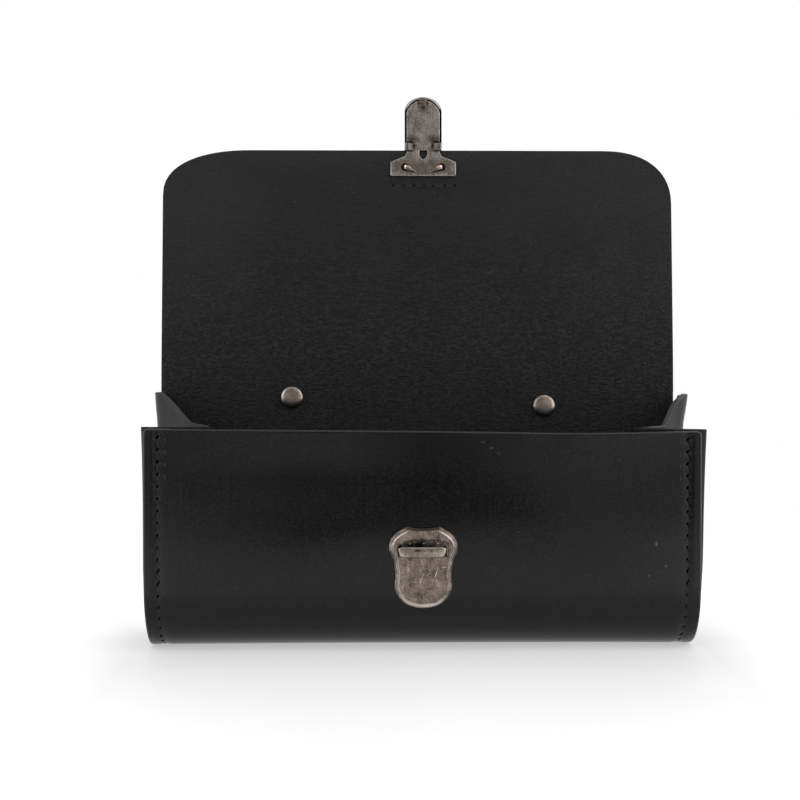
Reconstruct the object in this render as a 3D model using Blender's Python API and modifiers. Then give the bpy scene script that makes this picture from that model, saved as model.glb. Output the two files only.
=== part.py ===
"""Leather saddle bag with a tuck clasp, standing with its flap open.

X runs to the right as seen from the front, Y to the back and Z up. The bag stands on the XY plane.
One strip of leather makes the front, the bottom, the back and the flap, and a gusset closes each end.
Lengths are in metres, written as millimetres times MM.
"""

import math

import bmesh
import bpy
from mathutils import Matrix, Vector

MM = 0.001

# The strip of leather
BAG_WIDTH = 250 * MM
BAG_DEPTH = 70 * MM
FRONT_HEIGHT = 100.4 * MM
BACK_HEIGHT = 115.5 * MM
FLAP_LENGTH = 118 * MM
BODY_LEATHER = 2.8 * MM
FRONT_BEND = 27 * MM
REAR_BEND = 16 * MM
FLAP_LEAN = math.radians(3.4)
FLAP_BEND = 20 * MM
FLAP_CORNER_WIDE = 34 * MM
FLAP_CORNER_TALL = 26.5 * MM
FLAP_CORNER_POWER = 2.3
FLAP_TAPER = 0.6 * MM

# Its soft form: how far the front bows out, the bottom's front edge lifts, a dent sinks, the front's
# top edge sags, and the ends of the bottom pull in up to the height PULL_HEIGHT. A higher power keeps
# the bow fuller towards the ends, and keeps the pull nearer to the bottom.
BOW = 1.6 * MM
BOW_POWER = 2.5
LIFT = 1.0 * MM
DENT = 0.9 * MM
SAG = 2.0 * MM
PULL = 1.5 * MM
PULL_POWER = 1.3
PULL_HEIGHT = 40 * MM

# The seams, pressed into the leather
SEAM_INSET = 6.5 * MM
SEAM_HALF = 2.4 * MM
SEAM_DEPTH = 0.4 * MM

# The gussets: a flange along the seam, a fold, and a wall tucked inwards at the top
GUSSET_LEATHER = 3.0 * MM
GUSSET_PROUD = 0.5 * MM
FLANGE = 12.4 * MM
FOLD = 4.2 * MM
LEFT_TUCK = 26.6 * MM
RIGHT_TUCK = 23.1 * MM
LEFT_FLARE = 2.3 * MM
RIGHT_FLARE = 6.0 * MM
TUCK_START = 18 * MM
TUCK_POWER = 1.15

# Shares of the tuck's depth: its soft start at the fold and its soft crease in the middle
CREASE_START = 0.2
CREASE_END = 0.14

# Room between pieces that touch, and between the tongue and what it slides through
GAP = 0.3 * MM
TONGUE_ROOM = 0.4 * MM

# The catch on the front
CATCH_WIDE = 30.7 * MM
CATCH_TALL = 36.2 * MM
CATCH_BOTTOM = 20.9 * MM
CATCH_SHEET = 0.9 * MM
CATCH_BEVEL = 1.8 * MM
CATCH_BEVEL_RISE = 1.9 * MM
CATCH_DIP = 1.0 * MM
SLOT_TALL = 7.6 * MM
SLOT_DROP = 6.1 * MM
SLOT_SIDE = 0.8 * MM
BRIDGE_TALL = 4.6 * MM
BRIDGE_SHEET = 0.8 * MM
BRIDGE_PROUD = 0.9 * MM
BRIDGE_LEFT_SHIFT = 0.5 * MM
POST_RADIUS = 0.9 * MM
POST_HEAD_RADIUS = 2.2 * MM
POST_HEAD_THICK = 0.7 * MM

# The clasp on the flap
CLASP_ACROSS = 3.0 * MM
CLASP_SHEET = 0.8 * MM
TONGUE_WIDE = 18.06 * MM
TONGUE_RISE = 26.1 * MM
TONGUE_WALL = 0.8 * MM
TONGUE_TIP_WALL = 1.6 * MM
TONGUE_THICK = 3.5 * MM
TIP_TALL = 7.5 * MM
BASE_WIDE = 32 * MM
BASE_DROP = 12.6 * MM
BASE_CORNER = 0.8 * MM
SHOULDER_DROP = 5.7 * MM
SHOULDER_SLOPE = 2.7 * MM
WINDOW_WIDE = 4.0 * MM
WINDOW_TALL = 4.3 * MM
PRONG_ACROSS = 9.0 * MM
PRONG_DROP = 8.3 * MM
PRONG_WIDE = 2.2 * MM
PRONG_THICK = 1.0 * MM
PRONG_LEAF = 0.5 * MM
SLOT_RADIUS = 1.9 * MM
SLOT_TIP_ACROSS = 2.7 * MM
SLOT_TIP_DROP = 10.6 * MM
TAB_WIDE = 3.4 * MM
TAB_TALL = 3.7 * MM
TAB_SHEET = 0.5 * MM
TIP_TAB_WIDE = 3.8 * MM
TIP_TAB_TALL = 2.4 * MM

# The rivets on the back, measured down from its top and out from the middle
RIVET_ACROSS = 61.5 * MM
LEFT_RIVET_DROP = 2.8 * MM
RIGHT_RIVET_DROP = 6.9 * MM
RIVET_RADIUS = 5.35 * MM
RIVET_DOME = 1.7 * MM
RIVET_RIM = 0.5 * MM
RIVET_POST = 1.6 * MM
RIVET_BACK_RADIUS = 4.5 * MM
RIVET_BACK_THICK = 1.0 * MM
RIVET_STEPS = 28

HALF = BAG_WIDTH / 2
EAR_RISE = BACK_HEIGHT - FRONT_HEIGHT

# A place along the strip is one number: 0 to 1 down the front, to 2 round the front bend, to 3 along
# the bottom, to 4 round the rear bend, to 5 up the back and to 6 up the flap.
FRONT, FRONT_TURN, BOTTOM, REAR_TURN, BACK, FLAP = range(6)
SHARES = {
    FRONT: (0, 0.12, 0.25, 0.38, 0.5, 0.62, 0.75, 0.88),
    FRONT_TURN: (0, 0.2, 0.4, 0.6, 0.75, 0.89),
    BOTTOM: (0, 0.15, 0.6),
    REAR_TURN: (0, 0.25, 0.5, 0.75),
    BACK: (0, 0.12, 0.25, 0.38, 0.5, 0.62, 0.75, 0.88),
    FLAP: (0, 0.08, 0.17, 0.34, 0.55, 0.72),
}

# (place along the strip, share of BOW, share of LIFT)
SOFT_FORM = (
    (0.0, 0.35, 0.0),
    (0.3, 0.85, 0.0),
    (0.6, 1.0, 0.0),
    (1.0, 0.75, 0.0),
    (1.4, 0.35, 0.1),
    (1.75, 0.0, 0.7),
    (1.89, 0.0, 1.0),
    (2.0, 0.0, 0.35),
    (2.15, 0.0, 0.0),
)

# (share of HALF across, place along the strip, share of DENT, half-width as a share of HALF, half-length)
DENTS = (
    (-0.50, 0.42, 1.0, 0.22, 0.32),
    (0.56, 0.42, 0.9, 0.24, 0.32),
    (0.05, 1.05, 0.4, 0.30, 0.30),
)

# (share of HALF across, share of SAG) along the front's top edge
TOP_EDGE = (
    (-1.0, -0.05),
    (-0.6, 0.18),
    (0.0, 0.45),
    (0.3, 0.75),
    (0.56, 0.95),
    (0.75, 0.85),
    (1.0, 0.60),
)

# Stations across a gusset. The flange has (distance from the bag's edge, share of EAR_RISE that the left
# one reaches at the back, the same for the right one), the fold has shares of a quarter turn, and the
# wall has shares of the way to the tuck's crease.
FLANGE_STATIONS = (
    (FLANGE, 0.12, -0.3),
    (SEAM_INSET + SEAM_HALF, 0.45, -0.15),
    (SEAM_INSET, 0.62, 0.05),
)
FOLD_STATIONS = (0, 0.34, 0.67, 1)
WALL_STATIONS = (0.1, 0.2, 0.3, 0.39, 0.5, 0.62, 0.8, 1.0)

# (share of the way from the rear fold to the tuck's crease, share of EAR_RISE above FRONT_HEIGHT)
LEFT_EAR = (
    (0.0, 0.96),
    (0.12, 1.0),
    (0.2, 0.92),
    (0.37, 0.59),
    (0.5, 0.265),
    (0.62, 0.07),
    (0.75, 0.04),
    (1.0, -0.04),
)
RIGHT_EAR = (
    (0.0, 0.89),
    (0.07, 0.93),
    (0.24, 0.77),
    (0.31, 0.61),
    (0.39, 0.265),
    (0.49, -0.05),
    (0.75, -0.06),
    (1.0, -0.08),
)

# (place along the strip, share of the left flare, share of the right flare)
FLARE = (
    (0.0, 0.55, 0.42),
    (0.5, 0.0, 0.05),
    (1.0, 0.0, 0.0),
    (4.0, 0.2, 0.2),
    (4.83, 0.52, 0.62),
    (4.96, 0.91, 0.92),
    (5.0, 1.0, 1.0),
)

# (share of CATCH_TALL down from the horns, share of half of CATCH_WIDE) down the catch's right edge
CATCH_EDGE = (
    (0.0, 0.49),
    (0.065, 0.76),
    (0.136, 0.925),
    (0.2, 0.985),
    (0.26, 1.0),
    (0.325, 0.975),
    (0.385, 0.905),
    (0.43, 0.862),
    (0.5, 0.84),
    (0.61, 0.822),
    (0.73, 0.838),
    (0.805, 0.8),
    (0.885, 0.677),
    (0.955, 0.477),
    (0.988, 0.264),
    (1.0, 0.0),
)

# (share of half of the horns' distance, share of CATCH_DIP) from the left horn to the right one
CATCH_TOP = (
    (-0.6, 0.64),
    (-0.3, 0.91),
    (0.0, 1.0),
    (0.3, 0.91),
    (0.6, 0.64),
)

# (share of half of the slot's width, share of SLOT_TALL up) round the catch's slot
SLOT_EDGE = (
    (-1.0, 0.0),
    (1.0, 0.0),
    (1.0, 0.8),
    (0.85, 0.93),
    (0.5, 1.0),
    (-0.5, 1.0),
    (-0.8, 0.88),
    (-1.0, 0.76),
)

# (share of CATCH_WIDE across, share of CATCH_TALL up) of the catch's posts
CATCH_POSTS = (
    (-0.26, 0.915),
    (0.26, 0.915),
    (0.0, 0.085),
)

# (share of WINDOW_WIDE across, share of WINDOW_TALL down) round the back plate's window
WINDOW_EDGE = (
    (-0.5, 0.0),
    (-0.5, 0.5),
    (-0.28, 0.85),
    (0.0, 1.0),
    (0.28, 0.85),
    (0.5, 0.5),
    (0.5, 0.0),
)

# (share of PRONG_THICK outwards from the post, share of PRONG_WIDE up) round a prong's bent leaf
PRONG_SHAPE = (
    (0.6, 0.6),
    (0.6, -0.6),
    (-6.1, -1.15),
    (-2.2, 0.3),
)

parts = bpy.data.collections.new("saddle_bag")
cutters = bpy.data.collections.new("saddle_bag_cutters")


def clear_scene():
    for thing in list(bpy.data.objects):
        bpy.data.objects.remove(thing)
    bpy.context.scene.collection.children.link(parts)
    bpy.context.scene.collection.children.link(cutters)


def material(name, colour, roughness, metallic=0.0):
    made = bpy.data.materials.new(name)
    made.use_nodes = True
    shader = made.node_tree.nodes["Principled BSDF"]
    shader.inputs["Base Color"].default_value = (*colour, 1)
    shader.inputs["Roughness"].default_value = roughness
    shader.inputs["Metallic"].default_value = metallic
    made.diffuse_color = (*colour, 1)
    return made


def interpolate(table, at, column=1):
    """The table's column at this place, along straight lines between its rows."""
    if at <= table[0][0]:
        return table[0][column]
    for before, after in zip(table, table[1:]):
        if at <= after[0]:
            share = (at - before[0]) / (after[0] - before[0])
            return before[column] + share * (after[column] - before[column])
    return table[-1][column]


def mix(a, b, share):
    return a + (b - a) * share


def strip_point(along, inset, top=FRONT_HEIGHT):
    """(y, z) of the strip's section this far in from its outer face, and its outward normal."""
    stretch = min(int(along), FLAP)
    share = along - stretch
    front, back = -BAG_DEPTH / 2, BAG_DEPTH / 2
    if stretch == FRONT:
        return front + inset, mix(top, FRONT_BEND, share), -1.0, 0.0
    if stretch == FRONT_TURN:
        angle = math.pi * (1 + share / 2)
        y, z = math.cos(angle), math.sin(angle)
        radius = FRONT_BEND - inset
        return front + FRONT_BEND + radius * y, FRONT_BEND + radius * z, y, z
    if stretch == BOTTOM:
        return mix(front + FRONT_BEND, back - REAR_BEND, share), inset, 0.0, -1.0
    if stretch == REAR_TURN:
        angle = math.pi * (1.5 + share / 2)
        y, z = math.cos(angle), math.sin(angle)
        radius = REAR_BEND - inset
        return back - REAR_BEND + radius * y, REAR_BEND + radius * z, y, z
    if stretch == BACK:
        return back - inset, mix(REAR_BEND, BACK_HEIGHT, share), 1.0, 0.0
    rise = share * FLAP_LENGTH
    turn = math.tan(FLAP_LEAN) * min(rise / FLAP_BEND, 1)
    if rise < FLAP_BEND:
        lean = turn * rise / 2
    else:
        lean = turn * (rise - FLAP_BEND / 2)
    length = math.hypot(1, turn)
    y, z = 1 / length, -turn / length
    return back + lean - inset * y, BACK_HEIGHT + rise - inset * z, y, z


def relief(across, along):
    """How far the leather stands out of the plain section, at this share of HALF across."""
    middle = 1 - min(abs(across), 1) ** BOW_POWER
    bow = interpolate(SOFT_FORM, along, 1) * BOW * middle
    lift = interpolate(SOFT_FORM, along, 2) * LIFT * middle
    dents = 0.0
    for centre, place, depth, wide, long in DENTS:
        reach = ((across - centre) / wide) ** 2 + ((along - place) / long) ** 2
        if reach < 1:
            dents += depth * DENT * (1 - reach) ** 2
    seam = 0.0
    if along <= 5:
        off_seam = abs((1 - abs(across)) * HALF - SEAM_INSET)
        seam = SEAM_DEPTH * max(0.0, 1 - off_seam / SEAM_HALF)
    return bow - lift - dents - seam


def half_width(along, z):
    """Half of the strip's width, less what its bottom pulls in and its flap's corners round off."""
    if along <= 5:
        return HALF - PULL * max(0.0, 1 - z / PULL_HEIGHT) ** PULL_POWER
    half = HALF - FLAP_TAPER * (along - FLAP)
    down = (FLAP + 1 - along) * FLAP_LENGTH / FLAP_CORNER_TALL
    if down >= 1:
        return half
    across = (1 - (1 - down) ** FLAP_CORNER_POWER) ** (1 / FLAP_CORNER_POWER)
    return half - FLAP_CORNER_WIDE * (1 - across)


def panel_top(across):
    """The height of the front's top edge, at this share of HALF across."""
    return FRONT_HEIGHT - SAG * interpolate(TOP_EDGE, across)


def corner_rows(count):
    """Places along the strip for rows round the flap's corners, closer together towards its edge."""
    tall = FLAP_CORNER_TALL / FLAP_LENGTH
    return [FLAP + 1 - tall * (1 - math.sin(math.pi / 2 * step / count)) for step in range(count + 1)]


def grid_mesh(name, columns, rows, place, flip):
    """A sheet of columns by rows quads, with its corners where place(column, row) puts them."""
    grid = bmesh.new()
    bmesh.ops.create_grid(grid, x_segments=columns, y_segments=rows, size=0.5)
    for vert in grid.verts:
        column = round((vert.co.x + 0.5) * columns)
        row = round((vert.co.y + 0.5) * rows)
        vert.co = place(column, row)
    bmesh.ops.remove_doubles(grid, verts=grid.verts, dist=0.01 * MM)
    if flip:
        bmesh.ops.reverse_faces(grid, faces=grid.faces)
    mesh = bpy.data.meshes.new(name)
    grid.to_mesh(mesh)
    grid.free()
    return mesh


def add_part(name, mesh, finish, parent=None):
    mesh.materials.clear()
    mesh.materials.append(finish)
    mesh.shade_smooth()
    mesh.set_sharp_from_angle(angle=math.radians(35))
    part = bpy.data.objects.new(name, mesh)
    part.parent = parent
    parts.objects.link(part)
    return part


def add_wall(part, thickness):
    wall = part.modifiers.new("wall", "SOLIDIFY")
    wall.thickness = thickness
    wall.offset = -1
    wall.use_even_offset = True
    wall.use_quality_normals = True


def add_cutter(name, mesh, parent=None):
    cutter = bpy.data.objects.new(name, mesh)
    cutter.parent = parent
    cutter.hide_render = True
    cutter.display_type = "WIRE"
    cutters.objects.link(cutter)
    return cutter


def combine(part, other, operation):
    step = part.modifiers.new(other.name, "BOOLEAN")
    step.operation = operation
    step.object = other


def box_mesh(name, low, high):
    box = bmesh.new()
    bmesh.ops.create_cube(box, size=1)
    for vert in box.verts:
        vert.co = [mix(a, b, c + 0.5) for a, b, c in zip(low, high, vert.co)]
    mesh = bpy.data.meshes.new(name)
    box.to_mesh(mesh)
    box.free()
    return mesh


def rod_mesh(name, centre, radius, low, high, sides=16):
    """A round rod along local Z."""
    rod = bmesh.new()
    middle = Matrix.Translation((centre[0], centre[1], (low + high) / 2))
    bmesh.ops.create_cone(
        rod,
        cap_ends=True,
        segments=sides,
        radius1=radius,
        radius2=radius,
        depth=high - low,
        matrix=middle,
    )
    mesh = bpy.data.meshes.new(name)
    rod.to_mesh(mesh)
    rod.free()
    return mesh


def plate_mesh(name, outlines, low, high):
    """A flat plate from low to high along Z. The first outline is its edge and the others are holes."""
    curve = bpy.data.curves.new(name, "CURVE")
    curve.dimensions = "2D"
    curve.fill_mode = "BOTH"
    curve.extrude = (high - low) / 2
    for outline in outlines:
        spline = curve.splines.new("POLY")
        spline.points.add(len(outline) - 1)
        for point, (x, y) in zip(spline.points, outline):
            point.co = (x, y, 0, 1)
        spline.use_cyclic_u = True
    blank = bpy.data.objects.new(name, curve)
    bpy.context.scene.collection.objects.link(blank)
    graph = bpy.context.evaluated_depsgraph_get()
    mesh = bpy.data.meshes.new_from_object(blank.evaluated_get(graph))
    bpy.data.objects.remove(blank)
    mesh.transform(Matrix.Translation((0, 0, (low + high) / 2)))
    work = bmesh.new()
    work.from_mesh(mesh)
    bmesh.ops.remove_doubles(work, verts=work.verts, dist=0.001 * MM)
    bmesh.ops.recalc_face_normals(work, faces=work.faces)
    work.to_mesh(mesh)
    work.free()
    return mesh


def seat(name, along, across, inset):
    """An empty on the strip, with X across, Y up the leather and Z out towards the front."""
    y, z, normal_y, normal_z = strip_point(along, inset)
    toward = Vector((0, normal_y, normal_z))
    if toward.y > 0:
        toward = -toward
    up = Vector((1, 0, 0)).cross(toward) * -1
    turn = Matrix((Vector((1, 0, 0)), up, toward)).transposed().to_4x4()
    empty = bpy.data.objects.new(name, None)
    empty.matrix_world = Matrix.Translation((across, y, z)) @ turn
    empty.empty_display_size = 10 * MM
    parts.objects.link(empty)
    return empty


def strip_rows():
    rows = [stretch + share for stretch in range(FLAP) for share in SHARES[stretch]]
    corner = corner_rows(6)
    rows += [FLAP + share for share in SHARES[FLAP] if FLAP + share < corner[0] - 0.01]
    return rows + corner


def strip_columns():
    """Shares of HALF across, from the left edge to the right one."""
    edge = (0, SEAM_INSET - SEAM_HALF, SEAM_INSET, SEAM_INSET + SEAM_HALF)
    right = [1 - inset / HALF for inset in edge] + [0.86, 0.75, 0.61, 0.46, 0.31, 0.15]
    return [-share for share in right] + [0] + right[::-1]


def make_body(finish):
    rows = strip_rows()
    columns = strip_columns()

    def place(column, row):
        across, along = columns[column], rows[row]
        y, z, normal_y, normal_z = strip_point(along, 0, panel_top(across))
        out = relief(across, along)
        return across * half_width(along, z), y + out * normal_y, z + out * normal_z

    mesh = grid_mesh("bag_body", len(columns) - 1, len(rows) - 1, place, flip=True)
    body = add_part("bag_body", mesh, finish)
    add_wall(body, BODY_LEATHER)
    return body


def crease(share):
    """How deep the tuck is at this share of the way to its crease, with a soft start and a soft crease."""
    bend_end = 1 - CREASE_END
    if share < CREASE_START:
        deep = share**2 / (2 * CREASE_START)
    elif share < bend_end:
        deep = share - CREASE_START / 2
    else:
        past = share - bend_end
        deep = bend_end - CREASE_START / 2 + past - past**2 / (2 * CREASE_END)
    return deep / (1 - CREASE_START / 2 - CREASE_END / 2)


def spine_x(z, tuck):
    """How far out the tuck's crease is at this height."""
    up = min(max(z - TUCK_START, 0.0) / (FRONT_HEIGHT - TUCK_START), 1.0)
    return HALF - tuck * up**TUCK_POWER


def make_gusset(name, side, tuck, flare_size, ear, finish):
    """One end wall. side is -1 at the left end of the bag and 1 at the right."""
    own_column = 1 if side < 0 else 2
    inset = BODY_LEATHER + GAP
    rows = [stretch + share for stretch in range(FLAP) for share in SHARES[stretch]] + [FLAP]
    first_wall = len(FLANGE_STATIONS) + len(FOLD_STATIONS)
    stations = first_wall + len(WALL_STATIONS)

    def top_of(station, share, at_back):
        """The gusset's top edge at this station: the ear at the back, level at the front."""
        if not at_back:
            return mix(panel_top(side) + GUSSET_PROUD, FRONT_HEIGHT + EAR_RISE * ear[-1][1], share)
        if station < len(FLANGE_STATIONS):
            return FRONT_HEIGHT + EAR_RISE * FLANGE_STATIONS[station][own_column]
        return FRONT_HEIGHT + EAR_RISE * interpolate(ear, share)

    def place(station, row):
        along = rows[row]
        at_back = along >= BACK
        wall = WALL_STATIONS[station - first_wall] if station >= first_wall else 0.0
        top = top_of(station, wall, at_back)
        y, z, normal_y, normal_z = strip_point(min(along, FLAP - 0.001), inset, top)
        if at_back:
            z = mix(REAR_BEND, top, along - BACK)
        edge = half_width(along, z)
        fold_x = edge + flare_size * interpolate(FLARE, along, own_column)
        if station < len(FLANGE_STATIONS):
            across = 1 - FLANGE_STATIONS[station][0] / HALF
            out = relief(across, along)
            return side * across * edge, y + out * normal_y, z + out * normal_z
        if station < first_wall:
            angle = math.pi / 2 * FOLD_STATIONS[station - len(FLANGE_STATIONS)]
            inward = FOLD * (1 - math.cos(angle))
            x = fold_x - FOLD * (1 - math.sin(angle))
            return side * x, y - inward * normal_y, z - inward * normal_z
        if at_back:
            z = mix(mix(REAR_BEND, FRONT_BEND, wall), top, along - BACK)
        elif along > 1:
            z = mix(z - FOLD * normal_z, FRONT_BEND, wall)
        x = mix(fold_x, spine_x(z, tuck), crease(wall))
        return side * x, (y - FOLD * normal_y) * (1 - wall), z

    mesh = grid_mesh(name, stations - 1, len(rows) - 1, place, flip=side > 0)
    gusset = add_part(name, mesh, finish)
    add_wall(gusset, GUSSET_LEATHER)


def rounded(points, steps=2):
    """The points of a smooth curve through these ones, from the first to the last."""
    ends = [Vector(point) for point in points]
    ends = [2 * ends[0] - ends[1]] + ends + [2 * ends[-1] - ends[-2]]
    curve = []
    for a, b, c, d in zip(ends, ends[1:], ends[2:], ends[3:]):
        for step in range(steps):
            t = step / steps
            bend = (2 * a - 5 * b + 4 * c - d) * t**2 + (3 * b - a - 3 * c + d) * t**3
            curve.append(tuple(b + ((c - a) * t + bend) / 2))
    return curve + [tuple(ends[-2])]


def catch_outline(inset=0.0):
    """The shield, from the right horn down its right edge and back up the left one."""
    half, tall = CATCH_WIDE / 2 - inset, CATCH_TALL - 2 * inset
    right = [(out * half, CATCH_TALL - inset - down * tall) for down, out in CATCH_EDGE]
    left = [(-x, y) for x, y in right[-2::-1]]
    horn, top = right[0]
    return rounded(right + left) + [(horn * across, top - CATCH_DIP * dip) for across, dip in CATCH_TOP]


def make_catch(finish, bridge_finish, body):
    """The shield-shaped plate and its bar, which stand on the front. The tongue slides in behind the bar."""
    stands = BOW + GAP
    base = seat("catch_seat", FRONT, 0, -stands)
    base.location.z = CATCH_BOTTOM
    hollow = TONGUE_THICK + TONGUE_ROOM - GAP
    height = hollow + CATCH_SHEET

    def join(part, name, mesh, operation):
        combine(part, add_cutter(name, mesh, base), operation)

    mesh = plate_mesh("catch_plate", [catch_outline()], 0, height - CATCH_BEVEL_RISE)
    work = bmesh.new()
    work.from_mesh(mesh)
    front = [face for face in work.faces if face.normal.z > 0.9]
    bmesh.ops.inset_region(work, faces=front, thickness=CATCH_BEVEL, depth=CATCH_BEVEL_RISE)
    work.to_mesh(mesh)
    work.free()
    plate = add_part("catch_plate", mesh, finish, base)
    inside = plate_mesh("catch_hollow", [catch_outline(CATCH_BEVEL + GAP)], -1 * MM, hollow)
    join(plate, "catch_hollow", inside, "DIFFERENCE")

    bar_half = TONGUE_WIDE / 2 + TONGUE_ROOM + BRIDGE_SHEET
    slot_half = bar_half + SLOT_SIDE
    slot_low = CATCH_TALL - SLOT_DROP - SLOT_TALL
    slot = [(across * slot_half, slot_low + up * SLOT_TALL) for across, up in SLOT_EDGE]
    join(plate, "catch_slot", plate_mesh("catch_slot", [slot], -1 * MM, height + 1 * MM), "DIFFERENCE")

    bar_low = slot_low + GAP
    proud = height + BRIDGE_PROUD
    inner = bar_half - BRIDGE_SHEET
    under = proud - BRIDGE_SHEET
    staple = [(-bar_half, 0), (-bar_half, proud), (bar_half, proud), (bar_half, 0)]
    staple += [(inner, 0), (inner, under), (-inner, under), (-inner, 0)]
    staple = [(x - BRIDGE_LEFT_SHIFT, y) for x, y in staple]
    mesh = plate_mesh("catch_bridge", [staple], -bar_low - BRIDGE_TALL, -bar_low)
    mesh.transform(Matrix.Rotation(math.pi / 2, 4, "X"))
    add_part("catch_bridge", mesh, bridge_finish, base)

    through = -(stands + BODY_LEATHER + GAP)
    for number, (across, up) in enumerate(CATCH_POSTS):
        centre = (across * CATCH_WIDE, up * CATCH_TALL)
        post = rod_mesh(f"catch_post_{number}", centre, POST_RADIUS, through - GAP, hollow + CATCH_SHEET / 2)
        join(plate, f"catch_post_{number}", post, "UNION")
        head = rod_mesh(f"catch_head_{number}", centre, POST_HEAD_RADIUS, through - POST_HEAD_THICK, through)
        join(plate, f"catch_head_{number}", head, "UNION")
        hole = rod_mesh(f"catch_hole_{number}", centre, POST_RADIUS + GAP, through - 1 * MM, 1 * MM)
        join(body, f"catch_hole_{number}", hole, "DIFFERENCE")


def tongue_outline(half, tip, low, steps=8):
    """A tongue with straight sides up to its rounded tip."""
    spring = tip - TIP_TALL * half / (TONGUE_WIDE / 2)
    arc = [math.pi * step / steps for step in range(steps + 1)]
    return [(half, low)] + [
        (half * math.cos(angle), spring + (tip - spring) * math.sin(angle)) for angle in arc
    ] + [(-half, low)]


def teardrop(side, steps=6):
    """The slot in the back plate that a prong comes through, pointing to the middle and down."""
    centre = Vector((PRONG_ACROSS, -PRONG_DROP))
    tip = Vector((SLOT_TIP_ACROSS, -SLOT_TIP_DROP))
    heading = math.atan2(tip.y - centre.y, tip.x - centre.x)
    start, sweep = heading + 0.55 * math.pi, 0.9 * math.pi
    turns = [start + sweep * step / steps for step in range(steps + 1)]
    points = [centre + SLOT_RADIUS * Vector((math.cos(turn), math.sin(turn))) for turn in turns]
    return [(side * point.x, point.y) for point in points + [tip]]


def between(side, a, b):
    """Both of these distances from the middle, on this side of it and the lower one first."""
    return sorted((side * a, side * b))


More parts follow.
